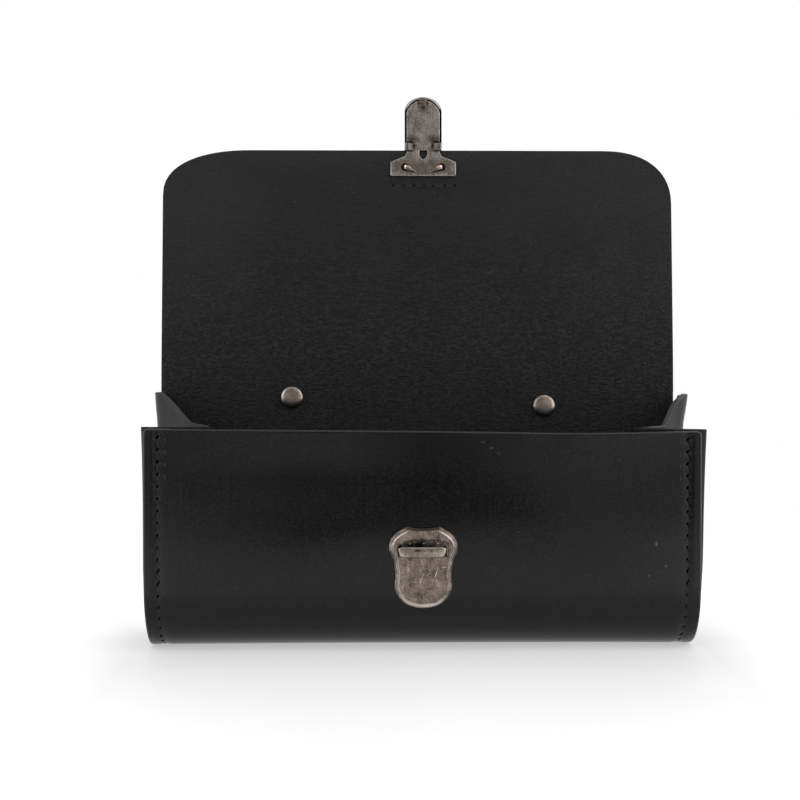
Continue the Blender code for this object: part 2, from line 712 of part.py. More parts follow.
def make_clasp(finish, back_finish, body):
    """The clasp on the flap's edge: a cover outside it, a back plate inside, and prongs through both."""
    edge = seat("clasp_seat", FLAP + 1, CLASP_ACROSS, BODY_LEATHER)
    outer = -BODY_LEATHER - GAP
    face = GAP + CLASP_SHEET
    floor = face - TONGUE_THICK
    half = TONGUE_WIDE / 2
    base_half = BASE_WIDE / 2
    shoulder = -SHOULDER_DROP + SHOULDER_SLOPE
    base = [
        (-half, shoulder),
        (-base_half, -SHOULDER_DROP),
        (-base_half, -BASE_DROP + BASE_CORNER),
        (-base_half + BASE_CORNER, -BASE_DROP),
        (base_half - BASE_CORNER, -BASE_DROP),
        (base_half, -BASE_DROP + BASE_CORNER),
        (base_half, -SHOULDER_DROP),
        (half, shoulder),
    ]
    window = [(across * WINDOW_WIDE, -down * WINDOW_TALL) for across, down in WINDOW_EDGE]
    inside_half = half - TONGUE_WALL - GAP
    inside_tip = TONGUE_RISE - TONGUE_TIP_WALL - GAP
    outline = base + tongue_outline(inside_half, inside_tip, shoulder + GAP)
    back_plate = plate_mesh("clasp_back_plate", [outline, window, teardrop(-1), teardrop(1)], GAP, face)
    add_part("clasp_back_plate", back_plate, back_finish, edge)

    # The cover is one piece of sheet. Each join is sunk into the next by this much.
    buried = TONGUE_WALL / 3
    above = GAP
    step_top = above + CLASP_SHEET
    base_plate = plate_mesh(
        "clasp_cover",
        [base + [(half, step_top), (-half, step_top)]],
        outer - CLASP_SHEET,
        outer,
    )
    cover = add_part("clasp_cover", base_plate, finish, edge)

    def join(name, mesh, operation="UNION"):
        combine(cover, add_cutter(name, mesh, edge), operation)

    tongue = [tongue_outline(half, TONGUE_RISE, above)]
    join("clasp_tongue", plate_mesh("clasp_tongue", tongue, floor, face))
    low = (buried - half, above + buried / 2, outer - CLASP_SHEET / 2)
    high = (half - buried, step_top - buried / 2, floor + CLASP_SHEET / 2)
    join("clasp_step", box_mesh("clasp_step", low, high))
    wall_tip = TONGUE_RISE - TONGUE_TIP_WALL
    hollow = [tongue_outline(half - TONGUE_WALL, wall_tip, above - 1 * MM)]
    cavity = plate_mesh("clasp_cavity", hollow, floor + CLASP_SHEET, face + 1 * MM)
    join("clasp_cavity", cavity, "DIFFERENCE")

    # Tabs folded over the back plate, each on a foot that stands in the tongue's wall
    lip = face + GAP
    lip_top = lip + TAB_SHEET
    foot_low, foot_high = floor + CLASP_SHEET / 2, lip + TAB_SHEET / 2
    for side, word in ((-1, "left"), (1, "right")):
        left, right = between(side, half - TAB_WIDE, half - buried / 2)
        tab = box_mesh(f"clasp_tab_{word}", (left, 0, lip), (right, TAB_TALL, lip_top))
        join(f"clasp_tab_{word}", tab)
        left, right = between(side, half - TONGUE_WALL + buried / 2, half - buried)
        low, high = (left, 2 * buried, foot_low), (right, TAB_TALL - buried, foot_high)
        join(f"clasp_foot_{word}", box_mesh(f"clasp_foot_{word}", low, high))
    tip_half = TIP_TAB_WIDE / 2
    wall_middle = TONGUE_RISE - TONGUE_TIP_WALL / 2
    low, high = (-tip_half, wall_tip - TIP_TAB_TALL, lip), (tip_half, wall_middle, lip_top)
    join("clasp_tab_tip", box_mesh("clasp_tab_tip", low, high))
    low = (buried - tip_half, wall_tip + buried, foot_low)
    high = (tip_half - buried, wall_middle - buried / 2, foot_high)
    join("clasp_foot_tip", box_mesh("clasp_foot_tip", low, high))

    for side, word in ((-1, "left"), (1, "right")):
        left, right = between(side, PRONG_ACROSS - PRONG_THICK / 2, PRONG_ACROSS + PRONG_THICK / 2)
        low, high = -PRONG_DROP - PRONG_WIDE / 2, -PRONG_DROP + PRONG_WIDE / 2
        post_low, post_high = outer - CLASP_SHEET / 2, lip + PRONG_LEAF / 2
        post = box_mesh(f"prong_{word}", (left, low, post_low), (right, high, post_high))
        join(f"prong_{word}", post)
        leaf = [
            (side * (PRONG_ACROSS + out * PRONG_THICK), -PRONG_DROP + up * PRONG_WIDE)
            for out, up in PRONG_SHAPE
        ]
        join(f"prong_leaf_{word}", plate_mesh(f"prong_leaf_{word}", [leaf], lip, lip + PRONG_LEAF))
        hole_low, hole_high = (left - GAP, low - GAP, outer - 1 * MM), (right + GAP, high + GAP, 1 * MM)
        hole = box_mesh(f"prong_hole_{word}", hole_low, hole_high)
        combine(body, add_cutter(f"prong_hole_{word}", hole, edge), "DIFFERENCE")


def make_rivet(name, across, drop, finish, body):
    """A domed cap inside the back, a post through the leather and a flat cap behind it."""
    along = BACK + (BACK_HEIGHT - drop - REAR_BEND) / (BACK_HEIGHT - REAR_BEND)
    base = seat(f"{name}_seat", along, across, BODY_LEATHER)
    top = GAP + RIVET_RIM
    quarter = [math.pi / 2 * step / 5 for step in range(6)]
    dome = [(RIVET_RADIUS * math.sin(a), top + RIVET_DOME * math.cos(a)) for a in quarter]
    behind = -BODY_LEATHER - GAP
    profile = dome + [
        (RIVET_RADIUS, GAP),
        (RIVET_POST, GAP),
        (RIVET_POST, behind),
        (RIVET_BACK_RADIUS, behind),
        (RIVET_BACK_RADIUS, behind - RIVET_BACK_THICK * 0.6),
        (RIVET_BACK_RADIUS * 0.8, behind - RIVET_BACK_THICK),
        (0, behind - RIVET_BACK_THICK),
    ]
    mesh = bpy.data.meshes.new(name)
    edges = [(number, number + 1) for number in range(len(profile) - 1)]
    mesh.from_pydata([(x, 0, z) for x, z in profile], edges, [])
    rivet = add_part(name, mesh, finish, base)
    turned = rivet.modifiers.new("turned", "SCREW")
    turned.steps = RIVET_STEPS
    turned.render_steps = RIVET_STEPS
    turned.use_merge_vertices = True
    turned.merge_threshold = 0.01 * MM
    hole = rod_mesh(f"{name}_hole", (0, 0), RIVET_POST + GAP, behind - 1 * MM, 1 * MM)
    combine(body, add_cutter(f"{name}_hole", hole, base), "DIFFERENCE")


def main():
    clear_scene()
    grain = material("black_leather", (0.012, 0.012, 0.012), 0.32)
    gusset_grain = material("black_gusset_leather", (0.014, 0.014, 0.014), 0.36)
    nickel = material("antique_nickel", (0.16, 0.145, 0.135), 0.38, 1.0)
    worn_nickel = material("worn_nickel", (0.34, 0.30, 0.27), 0.30, 1.0)
    body = make_body(grain)
    make_gusset("gusset_left", -1, LEFT_TUCK, LEFT_FLARE, LEFT_EAR, gusset_grain)
    make_gusset("gusset_right", 1, RIGHT_TUCK, RIGHT_FLARE, RIGHT_EAR, gusset_grain)
    make_catch(nickel, worn_nickel, body)
    make_clasp(nickel, nickel, body)
    make_rivet("rivet_left", -RIVET_ACROSS, LEFT_RIVET_DROP, worn_nickel, body)
    make_rivet("rivet_right", RIVET_ACROSS, RIGHT_RIVET_DROP, worn_nickel, body)


main()
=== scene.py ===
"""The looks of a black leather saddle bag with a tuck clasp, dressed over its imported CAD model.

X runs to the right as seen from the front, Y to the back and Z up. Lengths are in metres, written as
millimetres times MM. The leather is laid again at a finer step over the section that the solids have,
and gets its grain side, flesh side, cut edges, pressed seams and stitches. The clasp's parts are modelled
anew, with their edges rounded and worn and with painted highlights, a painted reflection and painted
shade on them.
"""

import bisect
import functools
import math

import bmesh
import bpy
from mathutils import Matrix, Vector, kdtree, noise


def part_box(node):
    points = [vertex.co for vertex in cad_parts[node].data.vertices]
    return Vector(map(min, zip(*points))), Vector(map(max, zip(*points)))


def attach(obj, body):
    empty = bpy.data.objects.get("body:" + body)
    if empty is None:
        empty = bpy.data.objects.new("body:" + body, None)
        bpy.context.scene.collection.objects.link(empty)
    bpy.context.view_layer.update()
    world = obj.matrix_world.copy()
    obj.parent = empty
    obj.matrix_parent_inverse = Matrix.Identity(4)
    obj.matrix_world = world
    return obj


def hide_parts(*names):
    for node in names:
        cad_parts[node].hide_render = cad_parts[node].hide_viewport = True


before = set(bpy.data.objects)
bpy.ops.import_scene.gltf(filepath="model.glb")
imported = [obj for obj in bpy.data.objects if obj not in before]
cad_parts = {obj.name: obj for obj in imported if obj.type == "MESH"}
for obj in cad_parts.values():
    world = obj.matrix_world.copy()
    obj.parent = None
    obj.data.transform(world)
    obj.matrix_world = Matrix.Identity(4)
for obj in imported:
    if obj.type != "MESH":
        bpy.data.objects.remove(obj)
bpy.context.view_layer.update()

MM = 0.001

# The strip of leather, as in the solids
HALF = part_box("bag_body")[1][0]
BAG_DEPTH = 70 * MM
FRONT_HEIGHT = 100.4 * MM
BACK_HEIGHT = 115.5 * MM
FLAP_LENGTH = 118 * MM
BODY_LEATHER = 2.8 * MM
FRONT_BEND = 27 * MM
REAR_BEND = 16 * MM
FLAP_LEAN = math.radians(3.4)
FLAP_BEND = 20 * MM
FLAP_CORNER_WIDE = 34 * MM
FLAP_CORNER_TALL = 26.5 * MM
FLAP_CORNER_POWER = 2.3
FLAP_LEFT_WIDE = 44 * MM
FLAP_LEFT_TALL = 22 * MM
FLAP_TAPER = 0.6 * MM

# Its soft form
BOW = 1.6 * MM
BOW_POWER = 2.5
LIFT = 0.35 * MM
DENT = 0.9 * MM
SAG = 2.0 * MM
LEFT_PULL = 1.05 * MM
RIGHT_PULL = 0.4 * MM
PULL_POWER = 1.3
PULL_HEIGHT = 40 * MM
LEFT_TRIM = 0.45 * MM
WAVE = 0.16 * MM
WAVE_LENGTH = 46 * MM

# The seams: a pressed valley, slanted holes and the thread between them
SEAM_INSET = 6.5 * MM
SEAM_HALF = 3.2 * MM
SEAM_DEPTH = 0.45 * MM
STITCH = 5.43 * MM
FIRST_HOLE = 3.8 * MM
SLOT_HALF_LONG = 1.0 * MM
SLOT_HALF_WIDE = 0.4 * MM
SLOT_DEPTH = 1.1 * MM
SLOT_SLANT = math.radians(56)
# In slots' sizes: where a slot's wall starts and where it is full depth
SLOT_SHOULDER = (1.4, 0.8)
# A face is in the slot when its corners' shares of the depth come to more than this
SLOT_SHARE = 1.6
PUCKER = 0.12 * MM
PUCKER_REACH = 1.9 * MM
THREAD_RADIUS = 0.30 * MM
THREAD_PROUD = -0.06 * MM
THREAD_LEAN = 0.38 * MM

# The gussets
GUSSET_LEATHER = 3.0 * MM
GUSSET_PROUD = 0.5 * MM
FLANGE = 12.4 * MM
FOLD = 4.2 * MM
FOLD_START = 5.3 * MM
LEFT_TUCK = 26.6 * MM
RIGHT_TUCK = 23.1 * MM
LEFT_FLARE = 2.3 * MM
RIGHT_FLARE = 6.0 * MM
TUCK_START = 18 * MM
TUCK_POWER = 1.15
CREASE_START = 0.2
CREASE_END = 0.14
GAP = 0.3 * MM
EAR_RISE = BACK_HEIGHT - FRONT_HEIGHT
EAR_FOOT = 0.9 * MM
EAR_ROOT = 108.5 * MM

# How round the leather's cut edges are
EDGE_ROUND = 0.95 * MM
GUSSET_EDGE_ROUND = 0.45 * MM

# A place along the strip is one number: 0 to 1 down the front, to 2 round the front bend, to 3 along
# the bottom, to 4 round the rear bend, to 5 up the back and to 6 up the flap.
FRONT, FRONT_TURN, BOTTOM, REAR_TURN, BACK, FLAP = range(6)
LENGTHS = (
    FRONT_HEIGHT - FRONT_BEND,
    math.pi / 2 * FRONT_BEND,
    BAG_DEPTH - FRONT_BEND - REAR_BEND,
    math.pi / 2 * REAR_BEND,
    BACK_HEIGHT - REAR_BEND,
    FLAP_LENGTH,
)
SEWN = sum(LENGTHS[:FLAP])

# (place along the strip, share of BOW, share of LIFT)
SOFT_FORM = (
    (0.0, 0.35, 0.0), (0.3, 0.85, 0.0), (0.6, 1.0, 0.0), (1.0, 0.75, 0.0), (1.4, 0.35, 0.1),
    (1.75, 0.0, 0.7), (1.89, 0.0, 1.0), (2.0, 0.0, 0.35), (2.15, 0.0, 0.0),
)

# (share of HALF across, place along the strip, share of DENT, half-width as a share of HALF, half-length).
# They are much shallower than the solids' dents, because the polish shows a dent many times stronger.
DENTS = (
    (-0.50, 0.42, 0.10, 0.34, 0.40),
    (0.56, 0.42, 0.10, 0.34, 0.40),
    (-0.58, 0.80, -0.30, 0.34, 0.52),
    (0.06, 0.02, -0.30, 0.40, 0.42),
)

# (share of HALF across, share of SAG) along the front's top edge
TOP_EDGE = (
    (-1.0, -0.05), (-0.6, 0.18), (0.0, 0.45), (0.3, 0.75), (0.56, 0.95), (0.75, 0.85), (1.0, 0.60),
)

# (share of the way from the rear fold to the tuck's crease, share of EAR_RISE above FRONT_HEIGHT)
LEFT_EAR = (
    (0.0, 0.96), (0.12, 1.0), (0.2, 0.92), (0.37, 0.59), (0.5, 0.265), (0.62, 0.07), (0.75, 0.04),
    (1.0, -0.04),
)
RIGHT_EAR = (
    (0.0, 0.89), (0.07, 0.93), (0.24, 0.77), (0.31, 0.61), (0.39, 0.265), (0.49, -0.05), (0.75, -0.06),
    (1.0, -0.08),
)

# (place along the strip, share of the left flare, share of the right flare)
FLARE = (
    (0.0, 0.74, 0.57), (0.2, 0.54, 0.47), (0.5, 0.40, 0.38), (0.8, 0.36, 0.32), (1.1, 0.30, 0.2),
    (1.7, 0.1, 0.1), (2.2, 0.0, 0.04), (4.0, 0.2, 0.2), (4.83, 0.52, 0.62), (4.96, 0.91, 0.92),
    (5.0, 1.0, 1.0),
)

# (distance from the bag's edge, share of EAR_RISE that the left flange reaches, the same for the right)
FLANGE_TOP = (
    (SEAM_INSET, 0.62, -0.3),
    (8.9 * MM, 0.45, -0.42),
    (FLANGE, 0.12, -0.5),
)


# Measures and curves

def mix(a, b, share):
    return a + (b - a) * share


@functools.cache
def smooth(table, at, column=1):
    """The table's column at this place, on a smooth curve through its rows that never overshoots them."""
    places = [row[0] for row in table]
    if at <= places[0]:
        return table[0][column]
    if at >= places[-1]:
        return table[-1][column]
    here = bisect.bisect_right(places, at) - 1

    def rise(number):
        low, high = table[number], table[number + 1]
        return (high[column] - low[column]) / (high[0] - low[0])

    def slope(number):
        if number == 0 or number == len(table) - 1:
            return rise(min(number, len(table) - 2))
        before, after = rise(number - 1), rise(number)
        return 2 * before * after / (before + after) if before * after > 0 else 0.0

    step = places[here + 1] - places[here]
    t = (at - places[here]) / step
    start, end = table[here][column], table[here + 1][column]
    return (
        start * (1 + 2 * t) * (1 - t) ** 2
        + step * slope(here) * t * (1 - t) ** 2
        + end * t**2 * (3 - 2 * t)
        + step * slope(here + 1) * t**2 * (t - 1)
    )


def along_at(distance):
    """The place along the strip this far from the front's top edge."""
    for stretch, length in enumerate(LENGTHS):
        if distance <= length or stretch == FLAP:
            return stretch + min(distance / length, 1.0)
        distance -= length


def panel_top(across):
    return FRONT_HEIGHT - SAG * smooth(TOP_EDGE, across)


def strip_point(along, inset, top=FRONT_HEIGHT):
    """(y, z) of the strip's section this far in from its outer face, and its outward normal."""
    stretch = min(int(along), FLAP)
    share = along - stretch
    front, back = -BAG_DEPTH / 2, BAG_DEPTH / 2
    if stretch == FRONT:
        return front + inset, mix(top, FRONT_BEND, share), -1.0, 0.0
    if stretch == BOTTOM:
        return mix(front + FRONT_BEND, back - REAR_BEND, share), inset, 0.0, -1.0
    if stretch == BACK:
        return back - inset, mix(REAR_BEND, BACK_HEIGHT, share), 1.0, 0.0
    if stretch == FLAP:
        rise = share * FLAP_LENGTH
        turn = math.tan(FLAP_LEAN) * min(rise / FLAP_BEND, 1)
        lean = turn * rise / 2 if rise < FLAP_BEND else turn * (rise - FLAP_BEND / 2)
        length = math.hypot(1, turn)
        y, z = 1 / length, -turn / length
        return back + lean - inset * y, BACK_HEIGHT + rise - inset * z, y, z
    start, bend, centre = {
        FRONT_TURN: (1.0, FRONT_BEND, front + FRONT_BEND),
        REAR_TURN: (1.5, REAR_BEND, back - REAR_BEND),
    }[stretch]
    angle = math.pi * (start + share / 2)
    y, z = math.cos(angle), math.sin(angle)
    return centre + (bend - inset) * y, bend + (bend - inset) * z, y, z


def half_width(along, z, side):
    """Half of the strip's width here, on the left (side below 0) or on the right."""
    if along > FLAP:
        return HALF - FLAP_TAPER * (along - FLAP)
    pull = LEFT_PULL if side < 0 else RIGHT_PULL
    trim = LEFT_TRIM * max(0.0, 1 - along / 2) if side < 0 else 0.0
    return HALF - trim - pull * max(0.0, 1 - z / PULL_HEIGHT) ** PULL_POWER


def round_corner(off_side, off_end, wide, tall, power):
    """Moves a place in a square corner onto a rounded one, so that rings of the grid follow its curve."""
    a, b = 1 - off_side / wide, 1 - off_end / tall
    if a <= 0 or b <= 0:
        return off_side, off_end
    turn = math.pi / 4 * (b / a if b < a else 2 - a / b)
    level = max(a, b)
    a, b = level * math.cos(turn) ** (2 / power), level * max(math.sin(turn), 0.0) ** (2 / power)
    return wide * (1 - a), tall * (1 - b)


def valley(distance, half, depth):
    """A pressed valley with soft shoulders, this far from its middle."""
    if abs(distance) >= half:
        return 0.0
    return depth * (0.5 + 0.5 * math.cos(math.pi * distance / half))


def relief(across, along):
    """How far the leather stands out of the plain section, at this share of HALF across."""
    middle = 1 - min(abs(across), 1) ** BOW_POWER
    bow = smooth(SOFT_FORM, along, 1) * BOW * middle
    lift = smooth(SOFT_FORM, along, 2) * LIFT * middle
    dents = 0.0
    for centre, place, depth, wide, long in DENTS:
        reach = ((across - centre) / wide) ** 2 + ((along - place) / long) ** 2
        if reach < 1:
            dents += depth * DENT * (1 - reach) ** 2
    seam = 0.0
    if along <= FLAP:
        seam = valley((1 - abs(across)) * HALF - SEAM_INSET, SEAM_HALF, SEAM_DEPTH)
    return bow - lift - dents - seam


def wave(point):
    """The small unevenness of a hide, which breaks up what its polish reflects."""
    near = noise.noise(point / WAVE_LENGTH)
    return WAVE * (near + 0.4 * noise.noise(2.3 * point / WAVE_LENGTH))


def on_strip(across, along, proud=0.0):
    """The place on the strip's outer face at this share of HALF across, and its outward normal."""
    y, z, normal_y, normal_z = strip_point(along, 0, panel_top(across))
    x = across * half_width(along, z, across)
    normal = Vector((0, normal_y, normal_z))
    out = relief(across, along) + proud
    point = Vector((x, y, z))
    # The bends pull the hide's unevenness flat: it is weaker beside them and gone round the bottom
    if along < FRONT_TURN or along >= BACK + 0.3:
        out += wave(point)
    elif along <= FRONT_TURN + 0.3 or along >= BACK:
        out += 0.6 * wave(point)
    return point + out * normal, normal


# Making pieces

def add_grid(name, columns, rows, place):
    """A sheet of columns by rows quads, with its corners where place(column, row) puts them."""
    bpy.ops.object.select_all(action="DESELECT")
    bpy.ops.mesh.primitive_grid_add(x_subdivisions=columns, y_subdivisions=rows, size=1)
    sheet = bpy.context.object
    sheet.name = sheet.data.name = name
    for vert in sheet.data.vertices:
        vert.co = place(round((vert.co.x + 0.5) * columns), round((vert.co.y + 0.5) * rows))
    return sheet


def select_faces(piece, wanted):
    """Goes into edit mode with just the faces for which wanted(face) is true."""
    bpy.context.view_layer.objects.active = piece
    bpy.ops.object.mode_set(mode="EDIT")
    bpy.ops.mesh.select_mode(type="FACE")
    bpy.ops.mesh.select_all(action="DESELECT")
    work = bmesh.from_edit_mesh(piece.data)
    for face in work.faces:
        face.select = wanted(face)
    work.select_flush_mode()
    bmesh.update_edit_mesh(piece.data)


def leave_edit():
    bpy.ops.object.mode_set(mode="OBJECT")


def tidy_mesh(piece, flip):
    select_faces(piece, lambda face: True)
    bpy.ops.mesh.remove_doubles(threshold=0.01 * MM)
    if flip:
        bpy.ops.mesh.flip_normals()
    leave_edit()


def pick(piece):
    """Selects this piece alone and makes it the active one."""
    bpy.ops.object.select_all(action="DESELECT")
    piece.select_set(True)
    bpy.context.view_layer.objects.active = piece


def apply_modifier(piece, kind, **settings):
    """Gives the piece one modifier with these settings and applies it."""
    step = piece.modifiers.new(kind.lower(), kind)
    for name, value in settings.items():
        setattr(step, name, value)
    pick(piece)
    bpy.ops.object.modifier_apply(modifier=step.name)


def add_wall(sheet, thickness, edge_round, materials):
    """Gives a sheet its thickness: material 0 outside, 1 inside and 2 on its rounded cut edges."""
    for made in materials:
        sheet.data.materials.append(made)
    even = {"use_even_offset": True, "use_quality_normals": True}
    sides = {"material_offset": 1, "material_offset_rim": 2}
    apply_modifier(sheet, "SOLIDIFY", thickness=thickness, offset=-1, **even, **sides)
    corners = {"limit_method": "ANGLE", "angle_limit": math.radians(60)}
    apply_modifier(sheet, "BEVEL", width=edge_round, segments=3, material=2, **corners)


def add_object(name, data):
    """Links a new object of this name that shows data."""
    made = bpy.data.objects.new(name, data)
    bpy.context.scene.collection.objects.link(made)
    return made


def piece_of(name, work, finish):
    """The object that holds what was made in work, in one finish."""
    bmesh.ops.recalc_face_normals(work, faces=work.faces)
    mesh = bpy.data.meshes.new(name)
    work.to_mesh(mesh)
    work.free()
    mesh.materials.append(finish)
    return add_object(name, mesh)


def finish_piece(piece, nodes):
    """Smooths a piece, hangs it on the root body and hides the CAD nodes it stands for."""
    pick(piece)
    bpy.ops.object.shade_smooth_by_angle(angle=math.radians(50))
    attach(piece, "root")
    if nodes:
        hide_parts(*nodes)
    return piece


def spread(start, end, step):
    """Values from start up to but not on end, about this far apart."""
    count = max(1, round((end - start) / step))
    return [mix(start, end, number / count) for number in range(count)]


# Colours and nodes

# For a node that maps a range: a soft start and end
SOFT = {"interpolation_type": "SMOOTHSTEP"}
NO_MARKS = (0, 1, ())


def srgb(code):
    """A hex colour turned linear."""
    values = [int(code[at:at + 2], 16) / 255 for at in (1, 3, 5)]
    linear = [v / 12.92 if v <= 0.04045 else ((v + 0.055) / 1.055) ** 2.4 for v in values]
    return (*linear, 1.0)


def plug(tree, made, inputs):
    """Gives a node's sockets, by name or number, a value or what comes out of another node."""
    for socket, value in inputs.items():
        if isinstance(value, bpy.types.Node):
            value = next(out for out in value.outputs if out.enabled)
        if isinstance(value, bpy.types.NodeSocket):
            tree.links.new(value, made.inputs[socket])
        else:
            made.inputs[socket].default_value = value


def node(tree, kind, inputs=(), **settings):
    """Adds one node with its settings. inputs are values or nodes: in the sockets' order, or by socket."""
    made = tree.nodes.new("ShaderNode" + kind)
    for name, value in settings.items():
        setattr(made, name, value)
    plug(tree, made, inputs if isinstance(inputs, dict) else dict(enumerate(inputs)))
    return made


def new_material(name):
    """A material with its node tree, its shader and its object coordinates in millimetres."""
    made = bpy.data.materials.new(name)
    made.use_nodes = True
    tree = made.node_tree
    coords = node(tree, "TexCoord").outputs["Object"]
    place = node(tree, "VectorMath", {0: coords, "Scale": 1 / MM}, operation="SCALE")
    return made, tree, tree.nodes["Principled BSDF"], place


def stretched(tree, place, *size):
    """Coordinates with a pattern this many millimetres long across, deep and up."""
    return node(tree, "VectorMath", [place, [1 / long for long in size]], operation="MULTIPLY")


def layered(tree, colour, *layers):
    """A colour under layers of (share, colour), each laid over what is below it."""
    colour = srgb(colour)
    for share, over in layers:
        colour = node(tree, "Mix", {0: share, 6: colour, 7: srgb(over)}, data_type="RGBA")
    return colour


# Finishes

def add_marks(tree, place, total, marks):
    """total, raised or lowered round each mark on one upright face.

    marks are the face's y, how deep they reach, and rows of (x, z, half-width, half-height, strength).
    The lengths are in mm.
    """
    y, deep, rows = marks
    for x, z, wide, tall, strength in rows:
        off = node(tree, "VectorMath", [place, (x, y, z)], operation="SUBTRACT")
        far = node(tree, "VectorMath", [stretched(tree, off, wide, deep, tall)], operation="LENGTH")
        mark = node(tree, "MapRange", [far, 0.2, 1.0, strength, 0.0], **SOFT)
        total = node(tree, "Math", [total, mark], operation="ADD")
    return total


def grain_leather(name, lowest, streaks, marks=NO_MARKS):
    """Black bridle leather, vegetable tanned, dyed through, waxed and polished on the grain side.

    To the eye: a deep black that reflects the room in soft, broken shapes, with fine closed pores, faint
    lines from the polishing, a few pale dust specks and rubs, and a duller, scuffed left end.
    """
    made, tree, shader, place = new_material(name)
    pores, dust, powder = (
        node(tree, "TexVoronoi", {"Vector": place, "Scale": 1 / size}) for size in (0.5, 9.0, 3.1)
    )
    grain = node(tree, "TexNoise", {"Vector": place, "Scale": 1 / 0.8})
    cloud = node(tree, "TexNoise", {"Vector": place, "Scale": 1 / 38, "Detail": 3})
    lines = stretched(tree, place, 1, 1, 24)
    rubbing = node(tree, "TexNoise", {"Vector": lines, "Scale": 1, "Detail": 5})
    speck = node(tree, "MapRange", [dust, 0.016, 0.028, 0.8, 0])
    fleck = node(tree, "MapRange", [powder, 0.05, 0.11, 0.5, 0])
    across = node(tree, "SeparateXYZ", [place]).outputs[0]
    scuffed = node(tree, "MapRange", [across, -50, -100, 0, 0.55])
    line = node(tree, "MapRange", [rubbing, 0.5, 0.68, 0, scuffed])
    mottle = node(tree, "MapRange", [grain, 0.44, 0.64, 0, 0.7])
    lighter = node(tree, "Math", [line, mottle], operation="MAXIMUM")
    pale = add_marks(tree, place, speck, marks)
    colour = layered(tree, "#030303", (lighter, "#151514"), (fleck, "#2c2b29"), (pale, "#4c4a47"))
    streaky = node(tree, "MapRange", [rubbing, 0.3, 0.72, -streaks, streaks])
    clouded = node(tree, "MapRange", [cloud, 0.3, 0.7, lowest, lowest + 0.05])
    rough = node(tree, "Math", [clouded, streaky], operation="ADD")
    fine = node(tree, "Math", [pores, grain], operation="ADD")
    depth = node(tree, "Math", [scuffed, 0.3, 0.2], operation="MULTIPLY_ADD")
    bump = node(tree, "Bump", {"Strength": depth, "Distance": 0.05 * MM, "Height": fine})
    plug(tree, shader, {"Base Color": colour, "Roughness": rough, "Normal": bump, "IOR": 1.34})
    return made


def flesh_leather():
    """The flesh side of the same hide, dyed black and slicked down with a glass slicker.

    To the eye: a matt charcoal with short wavy wrinkles that run across, stronger low down near the bend,
    with painted shade in their hollows. It is paler towards its sides, where hands have held it, and at the
    flap's end, and paler near the bend, which is painted light. It has a few pale dust specks.
    """
    made, tree, shader, place = new_material("black_dyed_flesh_side")
    across, _, height = node(tree, "SeparateXYZ", [place]).outputs
    wavy = {"Scale": 1, "Detail": 4, "Distortion": 0.9}
    swirl = node(tree, "TexNoise", {"Vector": stretched(tree, place, 1.8, 1.8, 0.92), **wavy})
    fibres = node(tree, "TexNoise", {"Vector": stretched(tree, place, 0.8, 0.8, 0.45), "Scale": 1})
    creases = node(tree, "MapRange", [swirl, 0.36, 0.56], **SOFT)
    low_down = node(tree, "MapRange", [height, 125, 205, 1, 0.28])
    deep = node(tree, "Math", [creases, low_down], operation="MULTIPLY")
    wrinkles = node(tree, "Math", [fibres, 0.35, deep], operation="MULTIPLY_ADD")
    bump = node(tree, "Bump", {"Strength": 1, "Distance": 0.75 * MM, "Height": wrinkles})
    # The colour follows the wrinkles: lighter on their raised parts and darker in their hollows, which is
    # painted shade.
    about_middle = node(tree, "Math", [creases, 0.5], operation="SUBTRACT")
    wrinkle_shade = node(tree, "Math", [about_middle, low_down, 0.5], operation="MULTIPLY_ADD")
    patches = node(tree, "TexNoise", {"Vector": place, "Scale": 1 / 42, "Detail": 3})
    shifted = node(tree, "MapRange", [patches, 0.3, 0.7, -45, 45])
    off_middle = node(tree, "Math", [across], operation="ABSOLUTE")
    outwards = node(tree, "Math", [off_middle, shifted], operation="ADD")
    worn = node(tree, "MapRange", [height, 125, 165, 0, 0.42])
    handled = node(tree, "MapRange", [outwards, 20, 95, 0, worn])
    # Paler low down near the bend: painted light, which lifts the bend out of the shade of the front and the
    # gussets.
    bend = node(tree, "MapRange", [height, 150, 108, 0, 0.2])
    top = node(tree, "MapRange", [height, 218, 233, 0, 0.55])
    ends = node(tree, "Math", [bend, top], operation="ADD")
    paler = node(tree, "Math", [ends, handled], operation="MAXIMUM")
    dust = node(tree, "TexVoronoi", {"Vector": place, "Scale": 1 / 3.6})
    speck = node(tree, "MapRange", [dust, 0.06, 0.1, 0.8, 0])
    colour = layered(tree, "#010101", (wrinkle_shade, "#191918"), (paler, "#212120"), (speck, "#3a3936"))
    rough = node(tree, "MapRange", [fibres, 0.3, 0.7, 0.5, 0.68])
    look = {"Base Color": colour, "Roughness": rough, "Normal": bump, "Specular IOR Level": 0.22}
    plug(tree, shader, look)
    return made


def cut_edge(name, dark, light, roughness, gloss):
    """A cut edge of bridle leather, dyed black and burnished with wax on a slicker, or left as it was cut.

    To the eye: a smooth dark edge, a little lighter and browner than the face, with lines along it.
    """
    made, tree, shader, place = new_material(name)
    fibre = {"Vector": stretched(tree, place, 0.7, 0.5, 0.7), "Scale": 1, "Detail": 3}
    fibre = node(tree, "TexNoise", fibre)
    bump = node(tree, "Bump", {"Strength": 0.7, "Distance": 0.1 * MM, "Height": fibre})
    look = {"Roughness": roughness, "Specular IOR Level": gloss, "Normal": bump}
    plug(tree, shader, {"Base Color": layered(tree, dark, (fibre, light)), **look})
    return made


def awl_slot():
    """The inside of a stitch hole: raw dyed fibres in deep shade, quite matt."""
    made, tree, shader, place = new_material("awl_slot_in_leather")
    fibre = node(tree, "TexNoise", {"Vector": place, "Scale": 1 / 0.2})
    colour = layered(tree, "#020202", (fibre, "#060606"))
    plug(tree, shader, {"Base Color": colour, "Roughness": 0.95, "Specular IOR Level": 0.05})
    return made


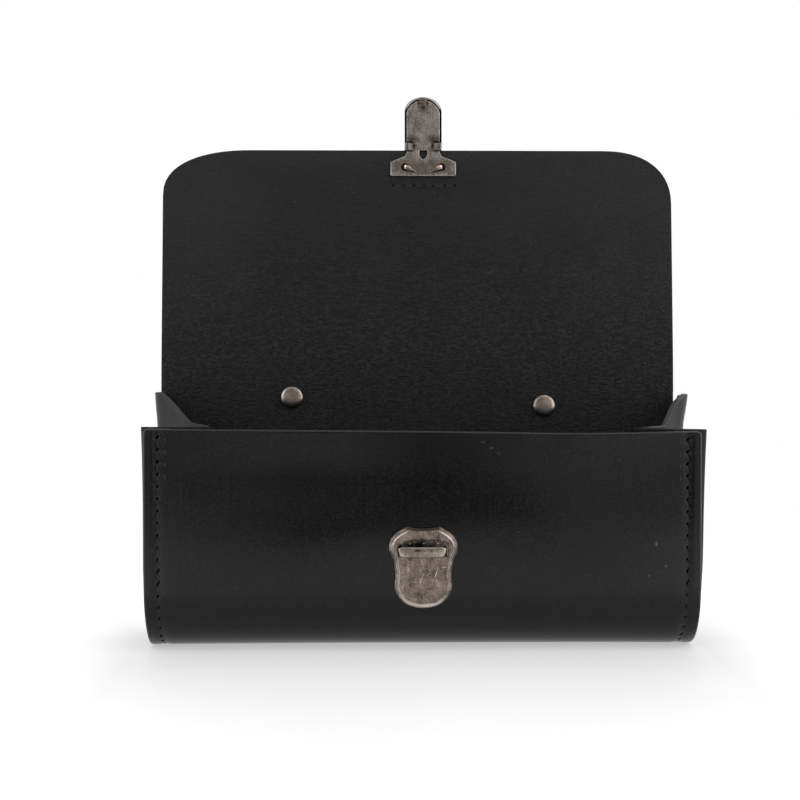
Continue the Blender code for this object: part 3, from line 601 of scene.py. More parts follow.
def waxed_thread():
    """Black polyester thread, braided and waxed: a soft sheen with slanting strands."""
    made, tree, shader, place = new_material("waxed_polyester_thread")
    wave = {"Vector": place, "Scale": 1 / 0.9, "Distortion": 0.6}
    strands = node(tree, "TexWave", wave, bands_direction="DIAGONAL").outputs["Fac"]
    bump = node(tree, "Bump", {"Strength": 0.5, "Distance": 0.08 * MM, "Height": strands})
    colour = layered(tree, "#060606", (strands, "#111111"))
    plug(tree, shader, {"Base Color": colour, "Normal": bump, "Roughness": 0.6})
    return made


def nickel(name, dark, light, bright, roughness, marks=NO_MARKS):
    """Steel sheet, pressed, nickel plated, blackened and relieved by tumbling.

    To the eye: a warm grey metal, cloudy with patina and finely pitted, with faint brushed streaks. It is
    bright where it rubs and black where nothing reaches, and its bright and black layers also carry
    painted highlights, a painted reflection and painted shade.
    """
    made, tree, shader, place = new_material(name)
    cloud = {"Scale": 1 / 4.0, "Detail": 5, "Roughness": 0.55}
    patina = node(tree, "TexNoise", {"Vector": place, **cloud})
    pits = node(tree, "TexNoise", {"Vector": place, "Scale": 1 / 0.6})
    brushed = node(tree, "TexNoise", {"Vector": stretched(tree, place, 0.7, 0.7, 9), "Scale": 1})
    cloudy = node(tree, "Math", [pits, 0.8, patina], operation="MULTIPLY_ADD")
    both = node(tree, "Math", [brushed, 0.45, cloudy], operation="MULTIPLY_ADD")
    share = node(tree, "MapRange", [both, 0.85, 1.4])
    # Each point's tone and the marks make the metal brighter or blacker: its rubbing and patina, and also
    # painted highlights, a painted reflection and painted shade.
    wear_and_painted_light = node(tree, "Attribute", attribute_name="wear_and_painted_light").outputs["Fac"]
    wear_and_painted_light = add_marks(tree, place, wear_and_painted_light, marks)
    uneven = node(tree, "Math", [both, 0.8, -0.9], operation="MULTIPLY_ADD")
    broken = node(tree, "Math", [wear_and_painted_light, uneven], operation="ADD")
    brightened = node(tree, "MapRange", [broken, 0.15, 1])
    black = node(tree, "MapRange", [broken, -0.2, -1])
    colour = layered(tree, dark, (share, light), (brightened, bright), (black, "#0e0c0b"))
    rough = node(tree, "MapRange", [both, 0.8, 1.35, roughness + 0.1, roughness - 0.06])
    bump = node(tree, "Bump", {"Strength": 0.3, "Distance": 0.05 * MM, "Height": both})
    plug(tree, shader, {"Base Color": colour, "Roughness": rough, "Normal": bump, "Metallic": 1})
    return made


# Leather

# Distances of the grid's rings from the strip's sides
RINGS = (0, 1.5, 2.6, 3.5, 4.5, 5.5, 6.5, 7.5, 8.5, 9.8, 11.6, 14.5, 18.5, 23.5, 28.5, 34)
RINGS = [inset * MM for inset in RINGS]
TOP_CORNER = RINGS[2]
TOP_CORNER_POWER = 2.6
SEWN_STEP = 1.35 * MM
FLAP_STEP = 2.6 * MM
BODY_STEP = 5 * MM


def strip_columns():
    """Shares of HALF across, from the left edge to the right one."""
    right = [1 - inset / HALF for inset in RINGS + spread(RINGS[-1] + BODY_STEP, HALF, BODY_STEP)]
    return [-share for share in right] + [0] + right[::-1]


def strip_rows():
    """Distances along the strip from the front's top edge to the flap's end."""
    corner = [SEWN + FLAP_LENGTH - inset * FLAP_CORNER_TALL / FLAP_CORNER_WIDE for inset in RINGS[::-1]]
    sewn = RINGS[:3] + spread(RINGS[2] + SEWN_STEP, SEWN, SEWN_STEP)
    return sewn + spread(SEWN, corner[0], FLAP_STEP) + corner


def rounded_place(across, distance):
    """The place of a grid point, with the corners of the front's top edge and of the flap rounded."""
    off_side = (1 - abs(across)) * HALF
    off_side, distance = round_corner(off_side, distance, TOP_CORNER, TOP_CORNER, TOP_CORNER_POWER)
    off_end = SEWN + FLAP_LENGTH - distance
    wide, tall = (FLAP_LEFT_WIDE, FLAP_LEFT_TALL) if across < 0 else (FLAP_CORNER_WIDE, FLAP_CORNER_TALL)
    off_side, off_end = round_corner(off_side, off_end, wide, tall, FLAP_CORNER_POWER)
    return math.copysign(1 - off_side / HALF, across), SEWN + FLAP_LENGTH - off_end


def sink_slots(piece, slots, face_side, reach, cuts, slot_finish):
    """Sinks slanted awl slots into one side of the leather, at these places: (across, distance, size).

    The faces whose middles are within reach of a slot are divided first.
    """
    mesh = piece.data
    tree = kdtree.KDTree(len(slots))
    for number, (across, distance, _) in enumerate(slots):
        tree.insert((across, distance, 0), number)
    tree.balance()

    def off_slot(spot):
        centre, number, _ = tree.find((*spot, 0))
        return spot[0] - centre.x, centre.y - spot[1], slots[number][2]

    def on_side():
        """The faces of this side, and every vertex's place on the flat strip."""
        uv = mesh.uv_layers["strip"].data
        faces = [face for face in mesh.polygons if face.material_index == face_side]
        return faces, {loop.vertex_index: tuple(uv[loop.index].uv) for loop in mesh.loops}

    faces, spots = on_side()
    wanted = set()
    for face in faces:
        corners = [spots[number] for number in face.vertices]
        middle = [sum(values) / len(corners) for values in zip(*corners)]
        if math.hypot(*off_slot(middle)[:2]) < reach:
            wanted.add(face.index)
    select_faces(piece, lambda face: face.index in wanted)
    bpy.ops.mesh.subdivide(number_cuts=cuts)
    leave_edit()

    faces, spots = on_side()
    sunk = {}
    normals = [vert.normal.copy() for vert in mesh.vertices]
    for number in {number for face in faces for number in face.vertices}:
        run, rise, size = off_slot(spots[number])
        off = math.hypot(run, rise)
        if off > PUCKER_REACH:
            continue
        long = run * math.cos(SLOT_SLANT) + rise * math.sin(SLOT_SLANT)
        wide = rise * math.cos(SLOT_SLANT) - run * math.sin(SLOT_SLANT)
        far = math.hypot(long / SLOT_HALF_LONG, wide / SLOT_HALF_WIDE) / size
        sunk[number] = ramp(far, *SLOT_SHOULDER)
        pucker = PUCKER * (0.5 + 0.5 * math.cos(math.pi * off / PUCKER_REACH))
        mesh.vertices[number].co -= normals[number] * size * (SLOT_DEPTH * sunk[number] + pucker)
    for face in faces:
        if sum(sunk.get(number, 0) for number in face.vertices) > SLOT_SHARE:
            face.material_index = slot_finish


def make_bag_leather(materials):
    """The strip. Its materials are the grain side, flesh side, cut edge, stitch holes and flap's edge."""
    columns, rows = strip_columns(), strip_rows()

    def place(column, row):
        across, distance = rounded_place(columns[column], rows[row])
        return on_strip(across, along_at(distance))[0]

    last = (len(columns) - 1, len(rows) - 1)
    sheet = add_grid("bag_leather", *last, place)
    spots = sheet.data.uv_layers[0]
    spots.name = "strip"
    for spot in spots.data:
        column, row = (round(share * count) for share, count in zip(spot.uv, last))
        spot.uv = (columns[column] * HALF, rows[row])
    tidy_mesh(sheet, flip=True)
    add_wall(sheet, BODY_LEATHER, EDGE_ROUND, materials)
    for face in sheet.data.polygons:
        if face.material_index == 2 and face.center.z > BACK_HEIGHT:
            face.material_index = 4
    seams = []
    for side in (-1, 1):
        for hole in hole_places():
            size = mix(*SEAM_HOLE_SIZE, ramp(hole, *SEAM_HOLE_CHANGE))
            seams.append((side * (HALF - SEAM_INSET), hole, size))
    row = [(across, distance, CLASP_HOLE_SIZE) for across, distance in clasp_row()]
    sink_slots(sheet, seams, face_side=0, reach=1.2 * MM, cuts=5, slot_finish=3)
    sink_slots(sheet, row, face_side=1, reach=2.6 * MM, cuts=13, slot_finish=1)
    return finish_piece(sheet, ["bag_body"])


def crease(share):
    """How deep the tuck is at this share of the way to its crease, with a soft start and a soft crease."""
    bend_end = 1 - CREASE_END
    if share < CREASE_START:
        deep = share**2 / (2 * CREASE_START)
    elif share < bend_end:
        deep = share - CREASE_START / 2
    else:
        past = share - bend_end
        deep = bend_end - CREASE_START / 2 + past - past**2 / (2 * CREASE_END)
    return deep / (1 - CREASE_START / 2 - CREASE_END / 2)


def spine_x(z, tuck):
    """How far out the tuck's crease is at this height."""
    up = min(max(z - TUCK_START, 0.0) / (FRONT_HEIGHT - TUCK_START), 1.0)
    return HALF - tuck * up**TUCK_POWER


def make_gusset_leather(name, node_name, side, tuck, flare_size, ear, materials):
    """One end wall. side is -1 at the left end of the bag and 1 at the right."""
    own_column = 1 if side < 0 else 2
    inset = BODY_LEATHER + GAP
    upright = spread(0, 1, 2.0 / 73)
    rows = upright + spread(1, 2, 1 / 18) + spread(2, 3, 1 / 12) + spread(3, 4, 1 / 12)
    # The last row is just short of the flap, so that it still counts as the back
    rows += [BACK + share for share in upright] + [FLAP - 0.0001]
    flange = spread(FLANGE, SEAM_INSET, 0.85 * MM) + [SEAM_INSET, FOLD_START]
    fold = spread(0, 1, 1 / 8) + [1]
    wall = spread(0, 0.3, 0.025)[1:] + spread(0.3, 0.8, 0.05) + spread(0.8, 1, 0.03) + [1]
    first_wall = len(flange) + len(fold)

    def top_of(station, share, at_back):
        """The gusset's top edge at this station: the ear at the back, level at the front."""
        if not at_back:
            return mix(panel_top(side) + GUSSET_PROUD, FRONT_HEIGHT + EAR_RISE * ear[-1][1], share)
        if station < len(flange):
            return FRONT_HEIGHT + EAR_RISE * smooth(FLANGE_TOP, flange[station], own_column)
        return FRONT_HEIGHT + EAR_RISE * smooth(ear, share)

    def place(station, row):
        along = rows[row]
        at_back = along >= BACK
        share = wall[station - first_wall] if station >= first_wall else 0.0
        top = top_of(station, share, at_back)
        y, z, normal_y, normal_z = strip_point(along, inset, top)
        if at_back:
            z = mix(REAR_BEND, top, along - BACK)
        edge = half_width(along, z, side)
        fold_x = edge + flare_size * smooth(FLARE, along, own_column)
        if station < len(flange):
            across = 1 - flange[station] / HALF
            out = relief(across, along)
            return side * across * edge, y + out * normal_y, z + out * normal_z
        if station < first_wall:
            angle = math.pi / 2 * fold[station - len(flange)]
            inward = FOLD * (1 - math.cos(angle))
            x = fold_x - FOLD * (1 - math.sin(angle))
            return side * x, y - inward * normal_y, z - inward * normal_z
        if at_back:
            z = mix(mix(REAR_BEND, FRONT_BEND, share), top, along - BACK)
        elif along > 1:
            z = mix(z - FOLD * normal_z, FRONT_BEND, share)
        x = mix(fold_x, spine_x(z, tuck), crease(share))
        return side * x, (y - FOLD * normal_y) * (1 - share), z

    sheet = add_grid(name, first_wall + len(wall) - 1, len(rows) - 1, place)
    tidy_mesh(sheet, flip=side > 0)
    add_wall(sheet, GUSSET_LEATHER, GUSSET_EDGE_ROUND, materials)
    # The front fold's grain side and the cut edges at the front and below the ears take a darker, duller copy
    # of the leather, which is painted shade.
    for face in sheet.data.polygons:
        x, y, z = face.center
        # The ears' cut edges keep the lighter edge finish, which is partly the edge's colour and partly
        # painted light.
        on_ear = z > FRONT_HEIGHT + EAR_FOOT or (z > FRONT_HEIGHT - 2 * MM and abs(x) > EAR_ROOT)
        front_fold = face.material_index == 0 and y < FOLD + inset - BAG_DEPTH / 2
        if front_fold or face.material_index == 2 and (y < 0 or not on_ear):
            face.material_index = 3
    return finish_piece(sheet, [node_name])


# Stitches

SEAM_END = 7 * MM
DOUBLED = 4
DOUBLED_INSET = 9.9 * MM
DOUBLED_LONG = 2.6 * MM
DOUBLED_PROUD = 0.2 * MM
CLASP_ROW = (-12.2, -7.1, -2.0, 3.1, 7.4, 13.2, 18.1)
CLASP_ROW_DROP = 17.4 * MM
# How big the holes are drawn, as a share of a slot: at a seam's top and lower down, which it becomes
# between these distances, and in the clasp's row
SEAM_HOLE_SIZE = (0.92, 0.66)
SEAM_HOLE_CHANGE = (16 * MM, 42 * MM)
CLASP_HOLE_SIZE = 0.6


def hole_places():
    """Distances along the strip of the stitch holes of one seam."""
    return spread(FIRST_HOLE, SEWN - SEAM_END, STITCH)


def clasp_row():
    """The holes of the short row under the clasp, as (across, distance along the strip)."""
    distance = SEWN + FLAP_LENGTH - CLASP_ROW_DROP
    return [(across * MM, distance) for across in CLASP_ROW]


def add_stitch(work, start, end, out):
    """A thread from one hole to the next: it rises out of the first and dives into the second."""
    sides, rings = 6, 7
    aside = (end - start).normalized().cross(out).normalized()
    loops = []
    for ring in range(rings + 1):
        arch = math.sin(math.pi * ring / rings) ** 0.6
        centre = start.lerp(end, ring / rings) + out * (THREAD_PROUD + THREAD_RADIUS * 1.9 * (arch - 1))
        width = THREAD_RADIUS * (0.72 + 0.28 * arch)
        ways = [heading(2 * math.pi * side / sides) for side in range(sides)]
        loops.append([centre + width * (way.x * aside + way.y * out) for way in ways])
    made = add_rings(work, loops)
    work.faces.new(made[0][::-1])
    work.faces.new(made[-1])


def finish_stitches(name, work, thread):
    """Stitches stand for no CAD node."""
    return finish_piece(piece_of(name, work, thread), [])


def make_seam(name, side, thread):
    """The row of stitches down one end of the bag, along the front, the bottom and the back."""
    work = bmesh.new()
    holes = hole_places()
    lean = THREAD_LEAN / HALF
    reach = SLOT_HALF_LONG * math.sin(SLOT_SLANT) * 0.8

    def stitch(across, start, end, slant, lift=0.0):
        first, out = on_strip(across - slant, along_at(start), lift)
        last, _ = on_strip(across + slant, along_at(end), lift)
        add_stitch(work, first, last, out)

    for start, end in zip(holes, holes[1:]):
        stitch(side * (1 - SEAM_INSET / HALF), start + reach, end - reach, lean)
    for start in holes[:DOUBLED]:
        stitch(side * (1 - DOUBLED_INSET / HALF), start, start + DOUBLED_LONG, 0.2 * lean, DOUBLED_PROUD)
    return finish_stitches(name, work, thread)


def make_clasp_row(thread):
    """The short row of stitches under the clasp, seen on both sides of the flap."""
    work = bmesh.new()
    spots = clasp_row()
    for (start, distance), (end, _) in zip(spots, spots[1:]):
        for inset, face in ((0.0, 1), (BODY_LEATHER, -1)):
            first, out = on_strip((start + THREAD_LEAN) / HALF, along_at(distance), -inset)
            last, _ = on_strip((end - THREAD_LEAN) / HALF, along_at(distance), -inset)
            add_stitch(work, first, last, face * out)
    return finish_stitches("stitches_clasp", work, thread)


# Hardware

CATCH_WIDE = 30.7 * MM
CATCH_TALL = 36.2 * MM
CATCH_DIP = 1.0 * MM
CATCH_HEIGHT = 4.5 * MM
CATCH_THROUGH = -5.0 * MM
CREST_INSET = 1.9 * MM
TOP_NARROWED = 0.62
SLOT_HALF = 11.0 * MM
SLOT_LOW = 23.2 * MM
SLOT_TALL = 6.9 * MM
BAR_HALF = 10.5 * MM
BAR_MIDDLE = 25.1 * MM
BAR_HALF_TALL = 2.15 * MM
BAR_SHIFT = -0.55 * MM
BAR_SLANT = 0.45 * MM
BAR_SHEET = 0.8 * MM
BAR_TOP = 5.4 * MM
BAR_TURN = 0.7 * MM
POST_RADIUS = 0.9 * MM
POST_HEAD_RADIUS = 2.2 * MM
POST_HEAD_THICK = 0.7 * MM

TONGUE_HALF = 9.03 * MM
TONGUE_RISE = 26.6 * MM
TONGUE_TIP = 7.5 * MM
TONGUE_WALL = 0.8 * MM
TONGUE_TIP_WALL = 1.3 * MM
HOLLOW_POINT = 1.18
TONGUE_FLOOR = -2.4 * MM
CLASP_FACE = 1.1 * MM
CLASP_SHEET = 0.8 * MM
TIP_DROP = 1.7 * MM
BASE_HALF = 16 * MM
BASE_DROP = 12.6 * MM
SHOULDER_DROP = 5.7 * MM
SHOULDER_TOP = -3.0 * MM
BASE_OUTSIDE = -3.1 * MM
STEP_TOP = 1.1 * MM
TAB_LONG = 3.4 * MM
TAB_HALF_TALL = 1.85 * MM
TAB_SHEET = 0.5 * MM
TIP_TAB_HALF = 1.9 * MM
TIP_TAB_TALL = 2.4 * MM
PRONG_ACROSS = 9.0 * MM
PRONG_DROP = 8.3 * MM
LEAF = 0.5 * MM

RIVET_ACROSS = 61.5 * MM
LEFT_RIVET_DROP = 2.8 * MM
RIGHT_RIVET_DROP = 6.9 * MM
RIVET_RADIUS = 5.35 * MM
RIVET_DOME = 1.25 * MM
RIVET_RIM = 0.5 * MM
# Behind the leather: (radius, distance further back), in mm
RIVET_BACK = ((1.6, 0), (4.3, 0), (4.5, 0.2), (4.3, 0.7), (3.6, 1.0), (0.1, 1.0))

# Where the catch's bottom and the clasp's shoulders sit
CATCH_PLACE = (0, -36.9 * MM, 20.9 * MM)
CLASP_PLACE = (2.6 * MM, 38.621 * MM, 233.45 * MM)

# Nicks in the front's grain, and lighter and darker places on the metal, some of them painted shade and
# painted shadows: the face's y, how deep they reach, and rows of (x, z, half-width, half-height, strength),
# in mm
NICKS = (-36.0, 9.0, (
    (104.4, 48.8, 0.8, 1.3, 1.0),
    (108.7, 38.7, 1.0, 0.8, 0.7),
    (101.1, 34.5, 0.7, 0.7, 0.5),
    (26.6, 94.4, 1.4, 0.6, 0.3),
    (30.4, 91.8, 1.3, 0.6, 0.45),
    (33.8, 89.4, 0.9, 0.6, 0.35),
))
# On the catch: worn streaks, a darker place low in the middle and one under the dip between the horns, and
# over the slot's top painted shade in the recess above the bar.
CATCH_MARKS = (-41.2, 9.0, (
    (-6.9, 40.0, 0.9, 7.5, 0.32), (-1.0, 37.5, 0.8, 8.0, 0.26), (6.2, 33.5, 1.3, 9.0, 0.24),
    (12.5, 41.0, 1.8, 5.5, 0.18), (0.0, 27.0, 9.0, 3.5, -0.12), (0.0, 50.2, 12.5, 3.4, -0.5),
    (0.0, 54.4, 9.0, 2.4, -0.25), (-9.5, 33.5, 2.0, 6.5, 0.12), (3.2, 31.0, 0.7, 5.0, 0.2),
))
BAR_MARKS = (-42.3, 9.0, (
    (-0.6, 46.9, 8.5, 1.0, -0.62),
    (-3.0, 46.5, 2.4, 0.8, -0.4),
    (3.6, 46.4, 2.0, 0.7, -0.35),
))
# On the clasp: painted shadows along, beside and above its side tabs, and under and beside the tip's tab.
CLASP_MARKS = (39.0, 8.0, (
    (-3.0, 239.0, 4.4, 2.8, -0.95), (8.0, 239.0, 4.4, 2.8, -0.95), (-4.2, 237.45, 3.0, 0.75, -1.3),
    (9.5, 237.55, 3.0, 0.75, -1.3), (-1.9, 235.5, 0.9, 2.4, -1.3), (7.1, 235.6, 0.9, 2.4, -1.3),
    (-4.0, 233.1, 3.2, 0.75, -1.2), (9.3, 233.2, 3.2, 0.75, -1.1), (2.6, 254.6, 3.2, 1.4, -0.95),
    (2.4, 253.0, 2.2, 1.3, -0.7), (0.45, 256.4, 0.7, 1.9, -1.3), (4.75, 256.4, 0.7, 1.9, -1.3),
))

# (share of CATCH_TALL down from the horns, share of half of CATCH_WIDE) down the catch's right edge
CATCH_EDGE = (
    (0.0, 0.49), (0.065, 0.76), (0.136, 0.925), (0.2, 0.985), (0.26, 1.0), (0.325, 0.975),
    (0.385, 0.905), (0.43, 0.862), (0.5, 0.84), (0.61, 0.822), (0.73, 0.838), (0.805, 0.8),
    (0.885, 0.677), (0.955, 0.477), (0.988, 0.264), (1.0, 0.0),
)

# (inset from the catch's edge, height) in mm, over its outside up to its crest and just past that
CATCH_SKIN = (
    (0.35, 0.0), (0.05, 0.15), (0.0, 0.5), (0.0, 2.2), (0.08, 2.5), (0.3, 2.82), (0.8, 3.3),
    (1.4, 3.88), (1.6, 4.2), (1.8, 4.44), (1.95, 4.5), (2.15, 4.45), (2.3, 4.38), (2.45, 4.38),
)
# The same under the sheet, from the middle outwards
CATCH_UNDERSIDE = ((2.9, 3.5), (2.5, 3.5), (1.0, 2.3), (0.9, 2.0), (0.9, 0.1), (0.75, 0.0))

# (share of SLOT_HALF across, share of SLOT_TALL up) round the catch's arched slot
SLOT_EDGE = (
    (1.0, 0.0), (1.0, 0.68), (0.93, 0.84), (0.75, 0.94), (0.45, 1.0), (0.0, 1.01), (-0.4, 1.0),
    (-0.64, 0.94), (-0.86, 0.76), (-1.0, 0.6), (-1.0, 0.0),
)
# (distance outside the slot's edge, height) in mm: the sheet is rolled inwards round the slot
SLOT_ROLL = ((0.6, 4.38), (0.45, 4.37), (0.3, 4.3), (0.14, 4.1), (0.03, 3.82), (0.0, 3.5))

# The small plate behind the slot and its raised points: their places and profile, in mm
INNER_PLATE = (
    (-10, 26.2), (8.9, 26.2), (8.9, 27.6), (10.2, 27.6), (10.2, 22.6),
    (11.3, 22.6), (11.3, 31.5), (-10.9, 31.5), (-10.9, 27.6), (-10, 27.6),
)
PIPS = (-6.0, 0.1, 6.4)
PIP_UP = 28.8
PIP = ((0.55, 3.2), (0.5, 3.55), (0.3, 3.8), (0.08, 3.88))

# The posts: (share of CATCH_WIDE across, share of CATCH_TALL up), and their profile of (radius, height)
POSTS = ((-0.26, 0.915), (0.26, 0.915), (0.0, 0.085))
POST = (
    (POST_RADIUS, CATCH_HEIGHT - 1.2 * MM),
    (POST_RADIUS, CATCH_THROUGH),
    (POST_HEAD_RADIUS, CATCH_THROUGH),
    (POST_HEAD_RADIUS, CATCH_THROUGH - 0.6 * POST_HEAD_THICK),
    (0.7 * POST_HEAD_RADIUS, CATCH_THROUGH - POST_HEAD_THICK),
)

# Scratches on the catch's flat face: (start, end, width), in mm from its bottom and middle
CATCH_FLAT = 4.38
SCRATCHES = (
    ((6.7, 18.9), (6.1, 16.6), 0.16), ((6.1, 17.0), (5.0, 13.6), 0.30),
    ((8.2, 18.0), (10.2, 18.5), 0.20), ((10.2, 18.5), (11.6, 18.0), 0.16),
    ((11.0, 16.3), (12.6, 16.0), 0.22), ((0.2, 15.6), (-0.9, 13.2), 0.14),
    ((-0.9, 13.4), (-1.6, 11.0), 0.18), ((3.4, 16.2), (1.1, 14.2), 0.12),
    ((-2.9, 35.0), (-1.4, 33.6), 0.15), ((-0.8, 22.0), (0.2, 17.6), 0.12),
    ((-5.6, 11.6), (-2.2, 12.0), 0.08),
)

# Along a prong's leaf: (x outwards from the middle, y up, half-width, height over the face) in mm
PRONG_LEAF = (
    (9.5, -8.2, 0.7, -0.5), (9.1, -8.25, 0.95, 0.15), (8.2, -8.45, 1.02, 0.42), (7.0, -8.9, 0.95, 0.5),
    (5.6, -9.6, 0.66, 0.46), (4.4, -10.2, 0.34, 0.36), (3.3, -10.75, 0.06, 0.28),
)

# The tongue's outside: (inset from its edge, height over its floor) in mm
TONGUE_SKIN = ((1.3, 0), (1.0, 0), (0.5, 0.08), (0.15, 0.3), (0, 0.75))
# Its rim: (share of the way in to the hollow, mm below the face, share of TIP_DROP at the tip)
TONGUE_RIM = (
    (0, 0.25, 1), (0.08, 0.08, 0.85), (0.3, 0, 0.55), (0.6, 0, 0.25), (0.85, 0, 0.06), (0.94, 0.12, 0.06)
)


def seat(across, y, z, lean=0.0):
    """A seat with X across, Y up the leather and Z out towards the front."""
    up = Vector((0, math.sin(lean), math.cos(lean)))
    toward = Vector((0, -math.cos(lean), math.sin(lean)))
    turn = Matrix((Vector((1, 0, 0)), up, toward)).transposed().to_4x4()
    return Matrix.Translation((across, y, z)) @ turn


def curved(points, steps):
    """The points of a smooth curve through these ones, from the first to the last."""
    ends = [Vector(point) for point in points]
    ends = [2 * ends[0] - ends[1]] + ends + [2 * ends[-1] - ends[-2]]
    curve = []
    for a, b, c, d in zip(ends, ends[1:], ends[2:], ends[3:]):
        for step in range(steps):
            t = step / steps
            bend = (2 * a - 5 * b + 4 * c - d) * t**2 + (3 * b - a - 3 * c + d) * t**3
            curve.append(b + ((c - a) * t + bend) / 2)
    return curve + [ends[-2]]


def inset_ring(outline, inset, height):
    """The outline moved inwards by this much and up to this height."""
    following = outline[1:] + outline[:1]
    inward = math.copysign(1, sum(a.x * b.y - b.x * a.y for a, b in zip(outline, following)))
    ring = []
    for before, here, after in zip(outline[-1:] + outline[:-1], outline, following):
        first, second = (here - before).normalized(), (after - here).normalized()
        aside = Vector((-first.y - second.y, first.x + second.x)).normalized()
        widen = min(1 / max(aside.dot(Vector((-first.y, first.x))), 0.1), 1.4)
        point = here + inward * inset * widen * aside
        ring.append(Vector((point.x, point.y, height)))
    return ring


def off_outline(outlines):
    """A function for a point's distance, seen from the front, from the nearest of these outlines."""
    points = [point for outline in outlines for point in outline]
    tree = kdtree.KDTree(len(points))
    for number, point in enumerate(points):
        tree.insert((point.x, point.y, 0), number)
    tree.balance()
    return lambda spot: tree.find((spot.x, spot.y, 0))[2]


def add_rings(work, rings):
    """Joins closed rings of points, all with the same number, into a skin of quads."""
    made = [[work.verts.new(point) for point in ring] for ring in rings]
    for low, high in zip(made, made[1:]):
        for at in range(len(low)):
            after = (at + 1) % len(low)
            work.faces.new((low[at], low[after], high[after], high[at]))
    return made


def fill(work, *loops):
    """Fills the flat place inside the first loop of points and outside the others."""
    edges = [work.edges.get(pair) for loop in loops for pair in zip(loop, loop[1:] + loop[:1])]
    bmesh.ops.triangle_fill(work, use_beauty=True, use_dissolve=False, edges=edges)


def heading(angle):
    """The direction at this angle in a plane."""
    return Vector((math.cos(angle), math.sin(angle)))


def mirrored(points):
    """These points on the other side of the middle, the last one first."""
    return [Vector((-point.x, point.y)) for point in points[::-1]]


def add_plate(work, outlines, low, high, edge):
    """A flat plate with rounded edges. The first outline is its edge and the others are holes."""
    skin = [(1.8 * edge, low), (edge, low), (0.3 * edge, low + 0.3 * edge), (0, low + edge)]
    skin += [(0, high - edge), (0.3 * edge, high - 0.3 * edge), (edge, high), (1.8 * edge, high)]
    made = []
    for number, outline in enumerate(outlines):
        way = 1 if number == 0 else -1
        made.append(add_rings(work, [inset_ring(outline, way * inset, height) for inset, height in skin]))
    fill(work, *[rings[0] for rings in made])
    fill(work, *[rings[-1] for rings in made])


def add_lathe(work, centre, profile, sides=48):
    """Turns a profile of (radius, height) round a line through this centre, closed at both ends."""
    ways = [heading(2 * math.pi * side / sides) for side in range(sides)]
    x, y = centre
    rings = [[Vector((x + out * way.x, y + out * way.y, up)) for way in ways] for out, up in profile]
    made = add_rings(work, rings)
    work.faces.new(made[0])
    work.faces.new(made[-1][::-1])


def add_strap(work, stations, edge):
    """A strap with rounded edges along stations of (middle, half its width, half its thickness)."""
    rings = []
    for middle, wide, thick in stations:
        round_off = min(edge, 0.9 * thick.length, 0.9 * wide.length)
        ring = []
        for corner, (out, up) in enumerate(((1, 1), (-1, 1), (-1, -1), (1, -1))):
            for step in range(4):
                turn = math.pi / 2 * (corner + step / 3)
                a = out * (wide.length - round_off) + round_off * math.cos(turn)
                b = up * (thick.length - round_off) + round_off * math.sin(turn)
                ring.append(middle + a * wide.normalized() + b * thick.normalized())
        rings.append(ring)
    made = add_rings(work, rings)
    work.faces.new(made[0])
    work.faces.new(made[-1][::-1])


def turned_path(corner, start_angle, end_angle, radius):
    """(point, outward direction) in a plane, round a bend with this centre."""
    ways = [heading(mix(start_angle, end_angle, step / 5)) for step in range(6)]
    return [(corner + radius * way, way) for way in ways]


def finish_metal(name, work, place, node_name, metal, wear_and_painted_light):
    """Makes the piece on its seat. The last argument gives each point's tone, 1 where it is bright and -1
    where it is black: the metal's own rubbing and patina, and on some pieces painted highlights, a painted
    reflection and painted shade.
    """
    piece = piece_of(name, work, metal)
    worn = piece.data.attributes.new("wear_and_painted_light", "FLOAT", "POINT")
    for vert, spot in zip(piece.data.vertices, worn.data):
        spot.value = wear_and_painted_light(vert.co)
    piece.data.transform(place)
    return finish_piece(piece, [node_name])


def near(value, middle, reach):
    """1 at the middle and 0 at this reach from it."""
    return max(0.0, 1 - abs(value - middle) / reach)


def ramp(value, start, end):
    return min(max((value - start) / (end - start), 0.0), 1.0)


def catch_outline():
    """The shield, from the right horn down its right edge, up the left one and along the dipped top."""
    right = [Vector((out * CATCH_WIDE / 2, CATCH_TALL * (1 - down))) for down, out in CATCH_EDGE]
    shares = [step / 12 for step in range(-11, 12)]
    top = [Vector((right[0].x * share, CATCH_TALL - CATCH_DIP * (1 - share**2))) for share in shares]
    return curved(right + mirrored(right[:-1]), 5) + top


def add_scratch(work, start, end, width):
    """A burr raised by a scratch: a low ridge, pointed at both ends."""
    start, end = Vector((*start, CATCH_FLAT)) * MM, Vector((*end, CATCH_FLAT)) * MM
    side = (end - start).cross(Vector((0, 0, 1))).normalized() * width * MM / 2
    stations = []
    for share, wide in ((0, 0.15), (0.2, 0.8), (0.5, 1), (0.8, 0.8), (1, 0.15)):
        stations.append((start.lerp(end, share), side * wide, Vector((0, 0, 0.035 * MM))))
    add_strap(work, stations, 0.03 * MM)


